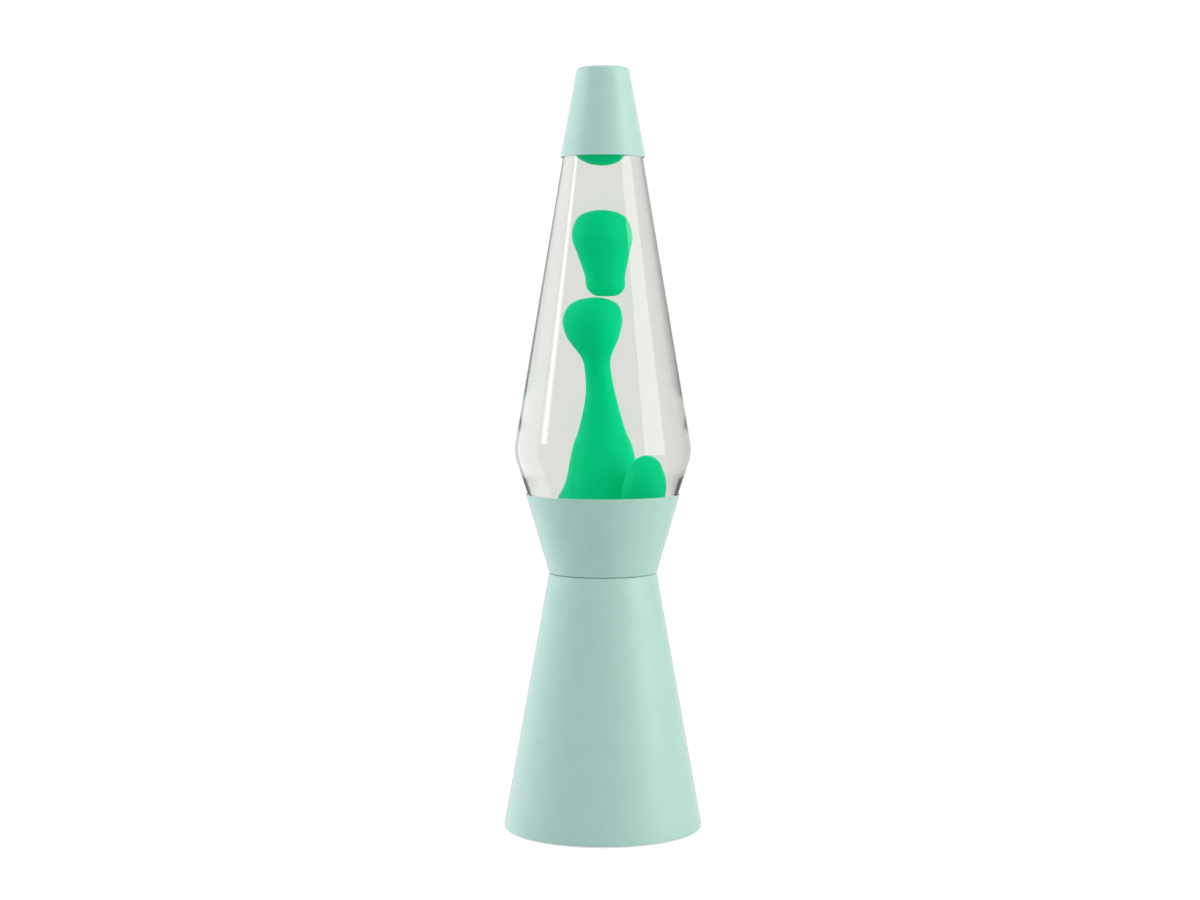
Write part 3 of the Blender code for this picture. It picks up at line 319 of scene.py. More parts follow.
def fitted(piece, body, slot, *nodes):
    # Gives a piece its finish and its body, and hides the nodes that it stands for
    piece.data.materials.clear()
    piece.data.materials.append(finishes[slot])
    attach(piece, body)
    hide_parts(*nodes)
    return piece


def rod(outline, low, high):
    # An upright prism on a flat outline, as a grid with both ends drawn to their middle
    middle = outline.mean(axis=0)[None] + 0 * outline
    rows = [(middle, low), (outline, low), (outline, high), (middle, high)]
    return np.stack([np.column_stack((flat, np.full(len(flat), level))) for flat, level in rows])


def ringOf(radius, centre=(0.0, 0.0), steps=48):
    turn = np.linspace(0, 2 * np.pi, steps, endpoint=False)
    return np.stack((centre[0] + radius * np.cos(turn), centre[1] + radius * np.sin(turn)), axis=1)


def pierced(piece, *grids):
    # Cuts closed shapes out of a piece, and leaves the result as plain mesh
    for number, grid in enumerate(grids):
        tool = skin(f"{piece.name}_tool{number}", grid)
        cut = piece.modifiers.new("cut", "BOOLEAN")
        cut.operation, cut.solver, cut.object = "DIFFERENCE", "EXACT", tool
    drawn = piece.evaluated_get(bpy.context.evaluated_depsgraph_get())
    mesh = bpy.data.meshes.new_from_object(drawn)
    mesh.name = piece.name
    for cut in list(piece.modifiers):
        bpy.data.objects.remove(cut.object, do_unlink=True)
    piece.modifiers.clear()
    piece.data = mesh
    mesh.shade_smooth()
    mesh.set_sharp_from_angle(angle=math.radians(35))
    return piece


def middleOf(node):
    low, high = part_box(node)
    return ((low.x + high.x) / 2, (low.y + high.y) / 2)


capLow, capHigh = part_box("cap")
bottleLow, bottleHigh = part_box("bottle")
cupLow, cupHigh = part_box("cup")
coneLow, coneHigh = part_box("cone")
rimZ, waistZ = cupHigh.z, (cupLow.z + coneHigh.z) / 2
rimRadius = 0.0423


# Cap

capLook = {"edgeRadius": 0.02309, "topRadius": 0.01404, "wall": 0.00102,
           "topFillet": 0.0018, "edgeFillet": 0.0003}


def makeCap(look):
    slope = (look["edgeRadius"] - look["topRadius"]) / (capHigh.z - capLow.z)
    innerTop = capHigh.z - look["wall"]
    innerEdge = look["edgeRadius"] - look["wall"]
    line = roundedLine([
        (0, capHigh.z),
        (look["topRadius"], capHigh.z, look["topFillet"]),
        (look["edgeRadius"], capLow.z, look["edgeFillet"]),
        (innerEdge, capLow.z, look["edgeFillet"]),
        (innerEdge - slope * (innerTop - capLow.z), innerTop, look["topFillet"] / 2),
        (0, innerTop),
    ], 8)
    fitted(skin("capShell", turned(sampled(line, 0.005))), "cap", "mint_paint", "cap")


makeCap(capLook)
print("cap made")


# Bottle and its liquid

bottleLook = {
    "wall": 0.0022,
    "neckRadius": 0.0130, "neckHeight": 0.0102, "neckFillet": 0.0035,
    "waspRadius": 0.0121, "beadHeight": 0.0038, "beadFillet": 0.0010,  # the bead that the crown cap grips
    "shoulderRadius": 0.01988, "shoulderDrop": 0.0172, "shoulderFillet": 0.0030,
    "bellyRadius": 0.0486, "bellyRise": 0.0223, "bellyFillet": 0.029,
    "seatRadius": 0.04126, "heelRadius": 0.03052, "heelFillet": 0.0045,
    "heelRing": 0.0075, "pushUp": 0.0040, "pushUpRadius": 0.0090,
    "contact": 0.00005,  # how far the liquid's surface reaches into the glass, so that no film of air shows
    "meniscus": 0.0010,
}


def bottleCorners(look):
    # The outside from the mouth down, with a plain neck
    mouth, floor = bottleHigh.z, bottleLow.z
    return [
        (look["neckRadius"], mouth, 0),
        (look["neckRadius"], mouth - look["neckHeight"], look["neckFillet"]),
        (look["shoulderRadius"], mouth - look["shoulderDrop"], look["shoulderFillet"]),
        (look["bellyRadius"], rimZ + look["bellyRise"], look["bellyFillet"]),
        (look["seatRadius"], rimZ, 0.030),
        (look["heelRadius"], floor, look["heelFillet"]),
        (look["heelRadius"] - look["heelRing"], floor, 0.0015),
        (look["pushUpRadius"], floor + look["pushUp"], 0.0015),
        (0, floor + look["pushUp"], 0),
    ]


def boreAt(corners, height):
    # The radius of the bore's straight run that holds this height
    for (upperRadius, upper, _), (lowerRadius, lower, _) in zip(corners, corners[1:]):
        if lower <= height <= upper:
            return lowerRadius + (upperRadius - lowerRadius) * (height - lower) / (upper - lower)


def makeBottle(look):
    plain = bottleCorners(look)
    inside = besideLine(plain, -look["wall"])
    mouth = bottleHigh.z
    bead = [
        (look["waspRadius"], mouth - look["neckHeight"], look["neckFillet"]),
        (look["waspRadius"], mouth - look["beadHeight"] - look["beadFillet"], look["beadFillet"]),
        (look["neckRadius"], mouth - look["beadHeight"], look["beadFillet"]),
        (look["neckRadius"], mouth, look["beadFillet"]),
        (inside[0][0], mouth, look["beadFillet"] * 0.8),
    ]
    line = roundedLine(plain[:1:-1] + bead + inside[1:], 16)
    glass = skin("bottleGlass", turned(sampled(line, 0.004), 256))
    bottle = fitted(glass, "bottle", "clear_glass", "bottle")
    bottle.data.materials.append(clearGlass("wetGlass", Specular_Tint=(0, 0, 0, 1)))
    # The bore's faces, which look towards the axis or up from the floor, touch the liquid
    count = len(bottle.data.polygons)
    centres, normals = np.empty(count * 3), np.empty(count * 3)
    bottle.data.polygons.foreach_get("center", centres)
    bottle.data.polygons.foreach_get("normal", normals)
    centres, normals = centres.reshape(-1, 3), normals.reshape(-1, 3)
    inward = (centres[:, :2] * normals[:, :2]).sum(axis=1) < 0
    upward = (normals[:, 2] > 0.5) & (centres[:, 2] < rimZ)
    height = centres[:, 2]
    wet = (inward | upward) & (height < mouth - look["shoulderDrop"]) & (height > bottleLow.z + 0.001)
    bottle.data.polygons.foreach_set("material_index", wet.astype(np.int32))


def makeLiquid(look):
    bore = besideLine(bottleCorners(look), look["contact"] - look["wall"])
    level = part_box("wax_dome")[1].z + 0.0003
    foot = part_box("liquid")[0].z - 0.0003
    brink = level + look["meniscus"]
    line = roundedLine([
        (0, level),
        (boreAt(bore, level) - look["meniscus"] * 2.5, level, look["meniscus"] * 3),
        (boreAt(bore, brink), brink),
        bore[3],
        bore[4],
        (boreAt(bore, foot), foot),
        (0, foot),
    ], 16)
    fitted(skin("liquidBody", turned(sampled(line, 0.004), 256)), "bottle", "clear_liquid", "liquid")


makeBottle(bottleLook)
makeLiquid(bottleLook)
print("bottle and liquid made")


# Wax, as (radius, height over the cup's rim, lean along X) from the top down

waxShapes = {
    "column": [
        (0.0, 0.1054, -0.0036), (0.0091, 0.1024, -0.0036), (0.0123, 0.0940, -0.0042),
        (0.0108, 0.0838, -0.0041), (0.0062, 0.0730, -0.0028), (0.0054, 0.0650, -0.0020),
        (0.0062, 0.0520, -0.0009), (0.0092, 0.0345, -0.0004), (0.0132, 0.0205, 0.0),
        (0.0160, 0.0075, 0.0), (0.0225, -0.0060, 0.0), (0.0312, -0.0151, 0.0),
    ],
    "blob": [
        (0.0, 0.1528, -0.0006), (0.0091, 0.1494, -0.0006), (0.0122, 0.1390, -0.0004),
        (0.0104, 0.1280, 0.0002), (0.0083, 0.1172, 0.0008), (0.0078, 0.1106, 0.0011),
        (0.0050, 0.1066, 0.0012), (0.0, 0.1059, 0.0012),
    ],
    "mound": [
        (0.0, 0.0227, 0.0), (0.0070, 0.0192, 0.0), (0.0113, 0.0075, 0.0),
        (0.0100, -0.0035, 0.0), (0.0052, -0.0095, 0.0), (0.0, -0.0108, 0.0),
    ],
    "dome": [
        (0.0, 0.18995, -0.0008), (0.0080, 0.18935, -0.0008), (0.0113, 0.18695, -0.0008),
        (0.0098, 0.18175, -0.0010), (0.0056, 0.17795, -0.0006), (0.0, 0.17665, -0.0004),
    ],
}
waxLumps = {"wobble": 0.018, "steps": 12, "around": 112, "gap": 0.0003}


def smoothStations(stations, steps, roundFoot=True):
    # Catmull-Rom: p(t) = (2b + (c-a)t + (2a-5b+4c-d)t^2 + (3b-a-3c+d)t^3) / 2 between b and c
    held = np.array(stations, float)
    mirror = np.array([-1.0, 1.0, 1.0])
    tail = held[-2] * mirror if roundFoot else held[-1] * 2 - held[-2]
    held = np.vstack((held[1] * mirror, held, tail))
    a, b, c, d = (held[first:len(held) - 3 + first, None, :] for first in range(4))
    t = np.linspace(0, 1, steps, endpoint=False)[None, :, None]
    bend, twist = 2 * a - 5 * b + 4 * c - d, 3 * b - a - 3 * c + d
    points = 0.5 * (2 * b + (c - a) * t + bend * t**2 + twist * t**3)
    return np.vstack((points.reshape(-1, 3), held[-2]))


def waxGrid(rings, look, place=(0.0, 0.0), phase=0.0):
    # P(s, t) = place + lean + r (1 + wobble cos(2t + 30 z + phase)) (cos t, sin t), at height z
    turn = np.linspace(0, 2 * np.pi, look["around"], endpoint=False)[None, :]
    radius, height, lean = (rings[:, column:column + 1] for column in range(3))
    radius = radius * (1 + look["wobble"] * np.cos(2 * turn + 30 * height + phase) * (radius < 0.018))
    return np.stack((place[0] + lean + radius * np.cos(turn), place[1] + radius * np.sin(turn),
                     rimZ + height + 0 * turn), axis=-1)


def makeWax(shapes, look):
    free = smoothStations(shapes["column"], look["steps"], roundFoot=False)
    gap = look["gap"]
    bore = besideLine(bottleCorners(bottleLook), -bottleLook["wall"] - gap)
    pool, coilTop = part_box("liquid")[0].z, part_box("wax_coil")[1].z + gap
    inner = bore[6][0] - gap
    foot = [
        (boreAt(bore, pool), pool), (boreAt(bore, coilTop), coilTop), (inner, coilTop),
        (inner, bore[6][1] + gap), (bottleLook["pushUpRadius"], bore[7][1]), (0, bore[7][1]),
    ]
    rings = np.vstack((free, [(radius, height - rimZ, 0.0) for radius, height in foot]))
    fitted(skin("waxColumn", waxGrid(rings, look)), "bottle", "green_wax", "wax_column")
    lumps = (("blob", (0, 0), 0.6), ("mound", middleOf("wax_mound"), 2.0), ("dome", (0, 0), 4.0))
    for name, place, phase in lumps:
        grid = waxGrid(smoothStations(shapes[name], look["steps"]), look, place, phase)
        fitted(skin("wax" + name.capitalize(), grid), name, "green_wax", "wax_" + name)


coilLook = {"wire": 0.00045, "pitch": 0.0017, "samples": 16}


def makeCoil(look):
    # path(u) = ((R + a cos nu) cos u, (R + a cos nu) sin u, z + a sin nu): a helix laid round a ring
    low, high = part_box("wax_coil")
    outside = (high.z - low.z) / 2
    ring, across = high.x - outside, outside - look["wire"]
    count = round(2 * math.pi * ring / look["pitch"])
    u = np.linspace(0, 2 * np.pi, count * look["samples"], endpoint=False)
    reach = ring + across * np.cos(count * u)
    rise = low.z + outside + across * np.sin(count * u)
    path = np.stack((reach * np.cos(u), reach * np.sin(u), rise), axis=1)
    middle = np.stack((ring * np.cos(u), ring * np.sin(u), 0 * u + low.z + outside), axis=1)
    grid = tube(path, look["wire"], path - middle)
    fitted(skin("coilWire", grid, closedAlong=True), "bottle", "dark_wire", "wax_coil")


makeWax(waxShapes, waxLumps)
makeCoil(coilLook)
print("wax made")


# Crown cap under the cap

crownLook = {"radius": 0.01605, "topRadius": 0.0140, "sheet": 0.0004, "flutes": 21, "depth": 0.045}


def makeCrown(look):
    low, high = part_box("crown_cap")
    top, edge, under = look["topRadius"], look["radius"], high.z - look["sheet"]
    line = roundedLine([
        (0, high.z), (top, high.z, 0.0014), (edge, low.z, 0.0001), (edge - look["sheet"], low.z, 0.0001),
        (top - look["sheet"], under, 0.0010), (0, under),
    ], 8)

    def flute(radius, height, turn):
        # r (1 - depth w (1 - cos 21t) / 2), where w grows from the top of the skirt to its edge
        share = np.clip((high.z - 0.0012 - height) / (high.z - low.z - 0.0012), 0, 1)
        return radius * (1 - look["depth"] * share * (1 - np.cos(look["flutes"] * turn)) / 2), height

    fitted(skin("crownCap", turned(sampled(line, 0.0006), 252, flute)), "bottle", "tinplate", "crown_cap")
    low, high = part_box("crown_liner")
    liner = roundedLine([
        (0, high.z), (high.x, high.z, 0.0003), (high.x, low.z, 0.0003), (high.x - 0.0016, low.z),
        (high.x - 0.0020, low.z + 0.0002), (0, low.z + 0.0002),
    ], 4)
    fitted(skin("crownLiner", turned(liner, 96)), "bottle", "grey_liner", "crown_liner")


makeCrown(crownLook)
print("crown cap made")


# Base: cup, cone and plate

baseLook = {
    "cupWall": 0.0007, "coneWall": 0.0012, "opening": 0.0215, "rimFillet": 0.00034, "waistFillet": 0.0008,
    "waistRadius": 0.02965, "baseRadius": 0.0546, "edgeFillet": 0.0012,
    "hemWidth": 0.0018, "ledgeRise": 0.0030, "ledgeWidth": 0.0085, "boltHole": 0.0018,
    "vents": 8, "ventLength": 0.0110, "ventWidth": 0.0030, "ventCircle": 0.0220,
}
cupSlope = (rimRadius - baseLook["waistRadius"]) / (rimZ - waistZ)
coneSlope = (baseLook["baseRadius"] - baseLook["waistRadius"]) / (waistZ - coneLow.z)


def coneRadius(height):
    return baseLook["baseRadius"] - coneSlope * (height - coneLow.z)


def holesAt(places, radius, low, high):
    return [rod(ringOf(radius, place), low, high) for place in places]


def placesOf(stem, count):
    return [middleOf(f"{stem}_{number + 1}") for number in range(count)]


def makeCup(look):
    wall = look["cupWall"] * math.hypot(1, cupSlope)
    floor = cupLow.z + look["cupWall"]
    foot = look["waistRadius"] + cupSlope * (cupLow.z - waistZ)
    line = roundedLine([
        (rimRadius, rimZ, look["rimFillet"]),
        (foot, cupLow.z, look["waistFillet"]),
        (look["opening"], cupLow.z, 0.0002),
        (look["opening"], floor, 0.0002),
        (foot + cupSlope * look["cupWall"] - wall, floor, look["waistFillet"]),
        (rimRadius - wall, rimZ, look["rimFillet"]),
    ], 6, closed=True)
    cup = skin("cupShell", turned(ringSampled(line, 0.006), 224), closedAlong=True)
    holes = holesAt(placesOf("waist_bolt", 3), look["boltHole"], cupLow.z - 0.001, floor + 0.001)
    fitted(pierced(cup, *holes), "base", "mint_paint", "cup")


def makeCone(look):
    wall = look["coneWall"] * math.hypot(1, coneSlope)
    top, edge = coneHigh.z, coneLow.z
    under, ledge = top - look["coneWall"], edge + look["ledgeRise"]
    ledgeTop, hem = ledge + look["coneWall"], look["baseRadius"] - look["hemWidth"]
    line = roundedLine([
        (coneRadius(top), top, look["waistFillet"]),
        (look["baseRadius"], edge, look["edgeFillet"]),
        (hem, edge, 0.0004),
        (hem, ledge, 0.0003),
        (hem - look["ledgeWidth"], ledge, 0.0003),
        (hem - look["ledgeWidth"], ledgeTop, 0.0003),
        (coneRadius(ledgeTop) - wall, ledgeTop, 0.0008),
        (coneRadius(under) - wall, under, 0.0006),
        (look["opening"], under, 0.0002),
        (look["opening"], top, 0.0002),
    ], 6, closed=True)
    cone = skin("coneShell", turned(ringSampled(line, 0.010), 224), closedAlong=True)
    holes = holesAt(placesOf("waist_bolt", 3), look["boltHole"], under - 0.001, top + 0.001)
    holes += holesAt(placesOf("plate_bolt", 3), look["boltHole"], ledge - 0.001, ledgeTop + 0.001)
    drill = rod(ringOf(inletLook["bore"] + inletLook["wall"] + 0.0003), -0.005, 0.004)
    fitted(pierced(cone, *holes, atInlet(drill)), "base", "mint_paint", "cone")


def makePlate(look):
    low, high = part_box("base_plate")
    radius = high.x
    line = roundedLine([(0, high.z), (radius, high.z, 0.0003), (radius, low.z, 0.0004), (0, low.z)], 4)
    plate = skin("basePlate", turned(sampled(line, 0.008), 192))
    places = placesOf("plate_bolt", 3) + placesOf("bridge_bolt", 2)
    holes = holesAt(places, look["boltHole"], low.z - 0.001, high.z + 0.001)
    for angle in math.radians(22.5) + 2 * np.pi * np.arange(look["vents"]) / look["vents"]:
        holes.append(rod(slotLine(look, angle), low.z - 0.001, high.z + 0.001))
    fitted(pierced(plate, *holes), "base", "zinc_steel", "base_plate")


def slotLine(look, angle):
    # A stadium: a circle whose right half is moved out by the run between its two ends, then turned
    turn = np.linspace(0, 2 * np.pi, 32, endpoint=False) + 0.01
    run = (look["ventLength"] - look["ventWidth"]) / 2
    along = look["ventCircle"] + look["ventWidth"] / 2 * np.cos(turn) + run * np.sign(np.cos(turn))
    across = look["ventWidth"] / 2 * np.sin(turn)
    return np.stack((along * math.cos(angle) - across * math.sin(angle),
                     along * math.sin(angle) + across * math.cos(angle)), axis=1)


inletLook = {"height": 0.0180, "bore": 0.0036, "wall": 0.0011, "flange": 0.0022, "lip": 0.0012,
             "gap": 0.0003, "inner": 0.0023}


def atInlet(grid):
    # Turns a shape about Z to the axis that is square to the cone's back wall, and bends it to the wall
    lean = math.atan(coneSlope)
    radius = coneRadius(inletLook["height"])
    x, y, z = grid[..., 0], grid[..., 1], grid[..., 2] - grid[..., 0] ** 2 / (2 * radius)
    return np.stack((x, radius - y * math.sin(lean) + z * math.cos(lean),
                     inletLook["height"] + y * math.cos(lean) + z * math.sin(lean)), axis=-1)


def makeInlet(look):
    barrel = look["bore"] + look["wall"]
    flange = barrel + look["flange"]
    outer, inner = look["gap"] + look["lip"], -look["inner"] - look["lip"]
    gap, far = look["gap"], -look["inner"]
    line = roundedLine([
        (look["bore"], outer, 0.0006), (flange, outer, 0.0008), (flange, gap, 0.0002), (barrel, gap, 0.0002),
        (barrel, far, 0.0002), (flange, far, 0.0002), (flange, inner, 0.0006), (look["bore"], inner, 0.0006),
    ], 6, closed=True)
    grid = atInlet(turned(ringSampled(line, 0.001), 72))
    fitted(skin("cordBush", grid, closedAlong=True), "base", "black_rubber", "cord_bush")


def makeFeet():
    for number in range(1, 5):
        low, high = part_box(f"foot_{number}")
        radius, (x, y) = (high.x - low.x) / 2, middleOf(f"foot_{number}")
        line = roundedLine([
            (0, high.z), (radius, high.z, 0.0002), (radius * 0.93, 0, 0.0008), (0.0030, 0, 0.0003),
            (0.0024, 0.0007, 0.0003), (0, 0.0007),
        ], 5)
        foot = skin(f"foot{number}", turned(line, 64) + [x, y, 0])
        fitted(foot, "base", "black_rubber", f"foot_{number}")


makeCup(baseLook)
makeCone(baseLook)
makePlate(baseLook)
makeInlet(inletLook)
makeFeet()
print("base made")


# Bolts, screws and nuts

boltLook = {"head": 0.0026, "headHeight": 0.0015, "shank": 0.0015, "pitch": 0.0005, "thread": 0.00022,
            "recessLength": 0.0015, "recessWidth": 0.00034, "recessDepth": 0.0009}
nutLook = {"small": (0.0055, 0.0018), "nipple": (0.0140, 0.0056)}  # flats, bore radius


def helixWave(rootLow, rootHigh, reach, depth, pitch, fade):
    # r - depth f(z) (1 - cos(2 pi z / pitch - t)) / 2 on rows near the reach's radius, f fading at both ends
    def wave(radius, height, turn):
        share = np.clip(np.minimum(height - rootLow, rootHigh - height) / fade, 0, 1)
        share = share * (np.abs(radius - reach[0]) < reach[1])
        return radius - depth * share * (1 - np.cos(2 * np.pi * height / pitch - turn)) / 2, height
    return wave


def boltGrid(length, look):
    # A pan head with a cross recess, z = dome - depth where |x| or |y| is small, on a threaded shank
    head, tall, shank = look["head"], look["headHeight"], look["shank"]
    line = roundedLine([
        (0, tall), (head, tall, tall * 0.62), (head, 0, 0.0001), (shank, 0), (shank, -length + 0.0004),
        (shank * 0.72, -length), (0, -length),
    ], 8)
    thread = helixWave(-length + 0.0003, -0.0004, (shank, 0.00002), look["thread"], look["pitch"], 0.0003)

    def shape(radius, height, turn):
        radius, height = thread(radius, height, turn)
        x, y = np.abs(radius * np.cos(turn)), np.abs(radius * np.sin(turn))
        inside = lambda value, limit: np.clip((limit - value) / 0.00014 + 0.5, 0, 1)
        pit = np.maximum(inside(x, look["recessLength"]) * inside(y, look["recessWidth"]),
                         inside(y, look["recessLength"]) * inside(x, look["recessWidth"]))
        return radius, height - look["recessDepth"] * pit * (height > tall * 0.5)
    return turned(sampled(line, 0.00009), 44, shape)


def makeBolt(name, body, node, flipped):
    low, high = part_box(node)
    length = high.z - low.z - boltLook["headHeight"]
    grid = boltGrid(length, boltLook)
    x, y = middleOf(node)
    if flipped:
        grid = grid * [1, -1, -1] + [x, y, low.z + boltLook["headHeight"]]
    else:
        grid = grid + [x, y, high.z - boltLook["headHeight"]]
    fitted(skin(name, grid), body, "zinc_steel", node)


def makeNut(name, node, flats, bore, facing):
    # r(t) = (flats / 2) / cos((t mod 60) - 30) on the sides, with a smaller circle on both faces
    low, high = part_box(node)
    turn = np.linspace(0, 2 * np.pi, 72, endpoint=False)
    six = flats / 2 / np.cos((turn % (np.pi / 3)) - np.pi / 6)
    bevel = flats * 0.07
    rows = [(bore + 0 * six, low.z), (flats * 0.475 + 0 * six, low.z), (six, low.z + bevel),
            (six, high.z - bevel), (flats * 0.475 + 0 * six, high.z), (bore + 0 * six, high.z)]
    x, y = middleOf(node)
    way = np.stack((np.cos(turn + facing), np.sin(turn + facing), 0 * turn), axis=1)
    grid = np.stack([radius[:, None] * way + [x, y, height] for radius, height in rows])
    fitted(skin(name, grid, closedAlong=True, sharpAngle=18), "base", "zinc_steel", node)


def makeFasteners():
    for number in range(1, 4):
        x, y = middleOf(f"waist_nut_{number}")
        makeBolt(f"waistBolt{number}", "base", f"waist_bolt_{number}", False)
        facing = math.atan2(y, x) + math.radians(30)
        makeNut(f"waistNut{number}", f"waist_nut_{number}", *nutLook["small"], facing)
        makeBolt(f"plateBolt{number}", "base", f"plate_bolt_{number}", True)
    for number in range(1, 3):
        makeBolt(f"bridgeBolt{number}", "base", f"bridge_bolt_{number}", True)
        makeNut(f"bridgeNut{number}", f"bridge_nut_{number}", *nutLook["small"], 0.0)
        makeBolt(f"terminalScrew{number}", "base", f"terminal_screw_{number}", True)
    for place in ("upper", "lower"):
        makeNut(f"{place}NippleNut", f"nipple_nut_{place}", *nutLook["nipple"], 0.0)


makeFasteners()
print("fasteners made")


# Bulb and lampholder


bulbLook = {
    "radius": 0.0195, "wall": 0.0008, "brimWidth": 0.0014, "faceRise": 0.0020, "brimDepth": 0.0082,
    "bowlInset": 0.0039, "bowlDepth": 0.0205, "throatWidth": 0.0015, "throatRise": 0.0090,
    "neckRise": 0.0208, "neckRadius": 0.00615, "neckLength": 0.0035,
    "screwRadius": 0.0069, "screwSheet": 0.0003, "screwFloor": 0.0046, "pitch": 0.002822, "thread": 0.00048,
}


def makeBulb(look):
    low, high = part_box("bulb_glass")
    tip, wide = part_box("bulb_contact")[0].z, look["radius"]
    neck = tip + look["neckRise"]
    outside = [
        (0, high.z, 0),
        (wide / 2, high.z, 0.0300),
        (wide - look["brimWidth"], high.z - look["faceRise"], 0.0035),
        (wide, high.z - look["brimDepth"], 0.0060),
        (wide - look["bowlInset"], high.z - look["bowlDepth"], 0.0100),
        (look["neckRadius"] + look["throatWidth"], neck + look["throatRise"], 0.0080),
        (look["neckRadius"], neck + 0.0003, 0.0004),
        (look["neckRadius"], neck - look["neckLength"], 0),
    ]
    line = roundedLine(outside + besideLine(outside, -look["wall"])[::-1], 12)
    glass = skin("bulbGlass", turned(sampled(line, 0.003), 128))
    fitted(glass, "bulb", "clear_glass", "bulb_glass")
    glass.data.materials[0] = silveredGlass()
    low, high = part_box("bulb_screw_shell")
    outer, sheet = look["screwRadius"], look["screwSheet"]
    inner, floor = look["screwFloor"], low.z + sheet
    line = roundedLine([
        (outer, high.z, 0.0001), (outer, low.z, 0.0014), (inner, low.z, 0.0001), (inner, floor, 0.0001),
        (outer - sheet, floor, 0.0011), (outer - sheet, high.z, 0.0001),
    ], 6, closed=True)
    line = ringSampled(line, 0.00022)
    reach = (outer - sheet / 2, sheet)
    thread = helixWave(low.z + 0.0016, high.z - 0.0042, reach, look["thread"], look["pitch"], 0.0012)
    shell = skin("bulbScrewShell", turned(line, 72, thread), closedAlong=True)
    fitted(shell, "bulb", "brass", "bulb_screw_shell")


holderLook = {
    "radius": 0.0135, "wall": 0.0018, "taper": 0.0007, "nippleHole": 0.0053,
    "ribPitch": 0.0024, "ribDepth": 0.0005,
    "sleeveBore": 0.0072, "sleeveSheet": 0.0004, "insertWall": 0.0030, "gap": 0.0003,
    "nippleBore": 0.0036, "nippleThread": 0.0005, "nipplePitch": 0.0010,
}


def makeHolder(look):
    low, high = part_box("lampholder_shell")
    outer, bore = look["radius"], look["radius"] - look["wall"]
    line = roundedLine([
        (outer - look["taper"], high.z, 0.0010), (outer, low.z, 0.0020), (look["nippleHole"], low.z, 0.0002),
        (look["nippleHole"], low.z + look["wall"], 0.0002), (bore, low.z + look["wall"], 0.0008),
        (bore - look["taper"], high.z, 0.0005),
    ], 6, closed=True)
    line = ringSampled(line, 0.0003)
    reach = (outer - look["taper"] / 2, look["taper"] * 0.6)
    ribs = helixWave(low.z + 0.017, high.z - 0.0022, reach, look["ribDepth"], look["ribPitch"], 0.001)
    shell = skin("holderShell", turned(line, 96, ribs), closedAlong=True)
    fitted(shell, "base", "black_phenolic", "lampholder_shell")

    low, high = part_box("lampholder_insert")
    wide = high.x
    bore = look["sleeveBore"] + look["sleeveSheet"] + look["gap"]
    seat = low.z + look["insertWall"]
    line = roundedLine([
        (0, low.z), (wide, low.z, 0.0008), (wide, high.z, 0.0006), (bore, high.z, 0.0003),
        (bore, seat, 0.0004), (0, seat),
    ], 6)
    insert = skin("holderInsert", turned(sampled(line, 0.004), 96))
    holes = holesAt(placesOf("terminal_screw", 2), 0.0018, low.z - 0.002, low.z + 0.0021)
    fitted(pierced(insert, *holes), "base", "white_ceramic", "lampholder_insert")

    low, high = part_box("lampholder_sleeve")
    inner, sheet = look["sleeveBore"], look["sleeveSheet"]
    corners = [(inner + sheet, high.z), (inner + sheet, low.z), (inner, low.z), (inner, high.z)]
    line = ringSampled(np.array(corners), 0.00022)
    reach = (inner + sheet / 2, sheet)
    thread = helixWave(low.z + 0.0012, high.z - 0.0042, reach, bulbLook["thread"], bulbLook["pitch"], 0.0012)
    sleeve = skin("holderSleeve", turned(line, 72, thread), closedAlong=True)
    fitted(sleeve, "base", "brass", "lampholder_sleeve")

    low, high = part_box("nipple")
    outer, bore = high.x, look["nippleBore"]
    line = roundedLine([
        (outer, high.z, 0.0004), (outer, low.z, 0.0004), (bore, low.z, 0.0003), (bore, high.z, 0.0003),
    ], 3, closed=True)
    line = ringSampled(line, 0.00012)
    thread = helixWave(low.z + 0.0003, high.z - 0.0003, (outer, 0.00002), look["nippleThread"],
                       look["nipplePitch"], 0.0004)
    fitted(skin("nippleTube", turned(line, 64, thread), closedAlong=True), "base", "zinc_steel", "nipple")


makeBulb(bulbLook)
makeHolder(holderLook)
print("bulb and lampholder made")


# The nodes that keep their own mesh

keptNodes = {
    "bridge": "zinc_steel", "lampholder_contact": "brass", "bulb_contact": "brass",
    "bulb_insulator": "black_phenolic", "bulb_stem": "clear_glass", "bulb_filament": "dark_wire",
}
for node, slot in keptNodes.items():
    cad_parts[node].data.materials.clear()
    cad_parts[node].data.materials.append(finishes[slot])

for name in ("bottleGlass", "liquidBody"):
    bpy.data.objects[name].visible_shadow = False  # light reaches the wax straight through the glass


# Studio

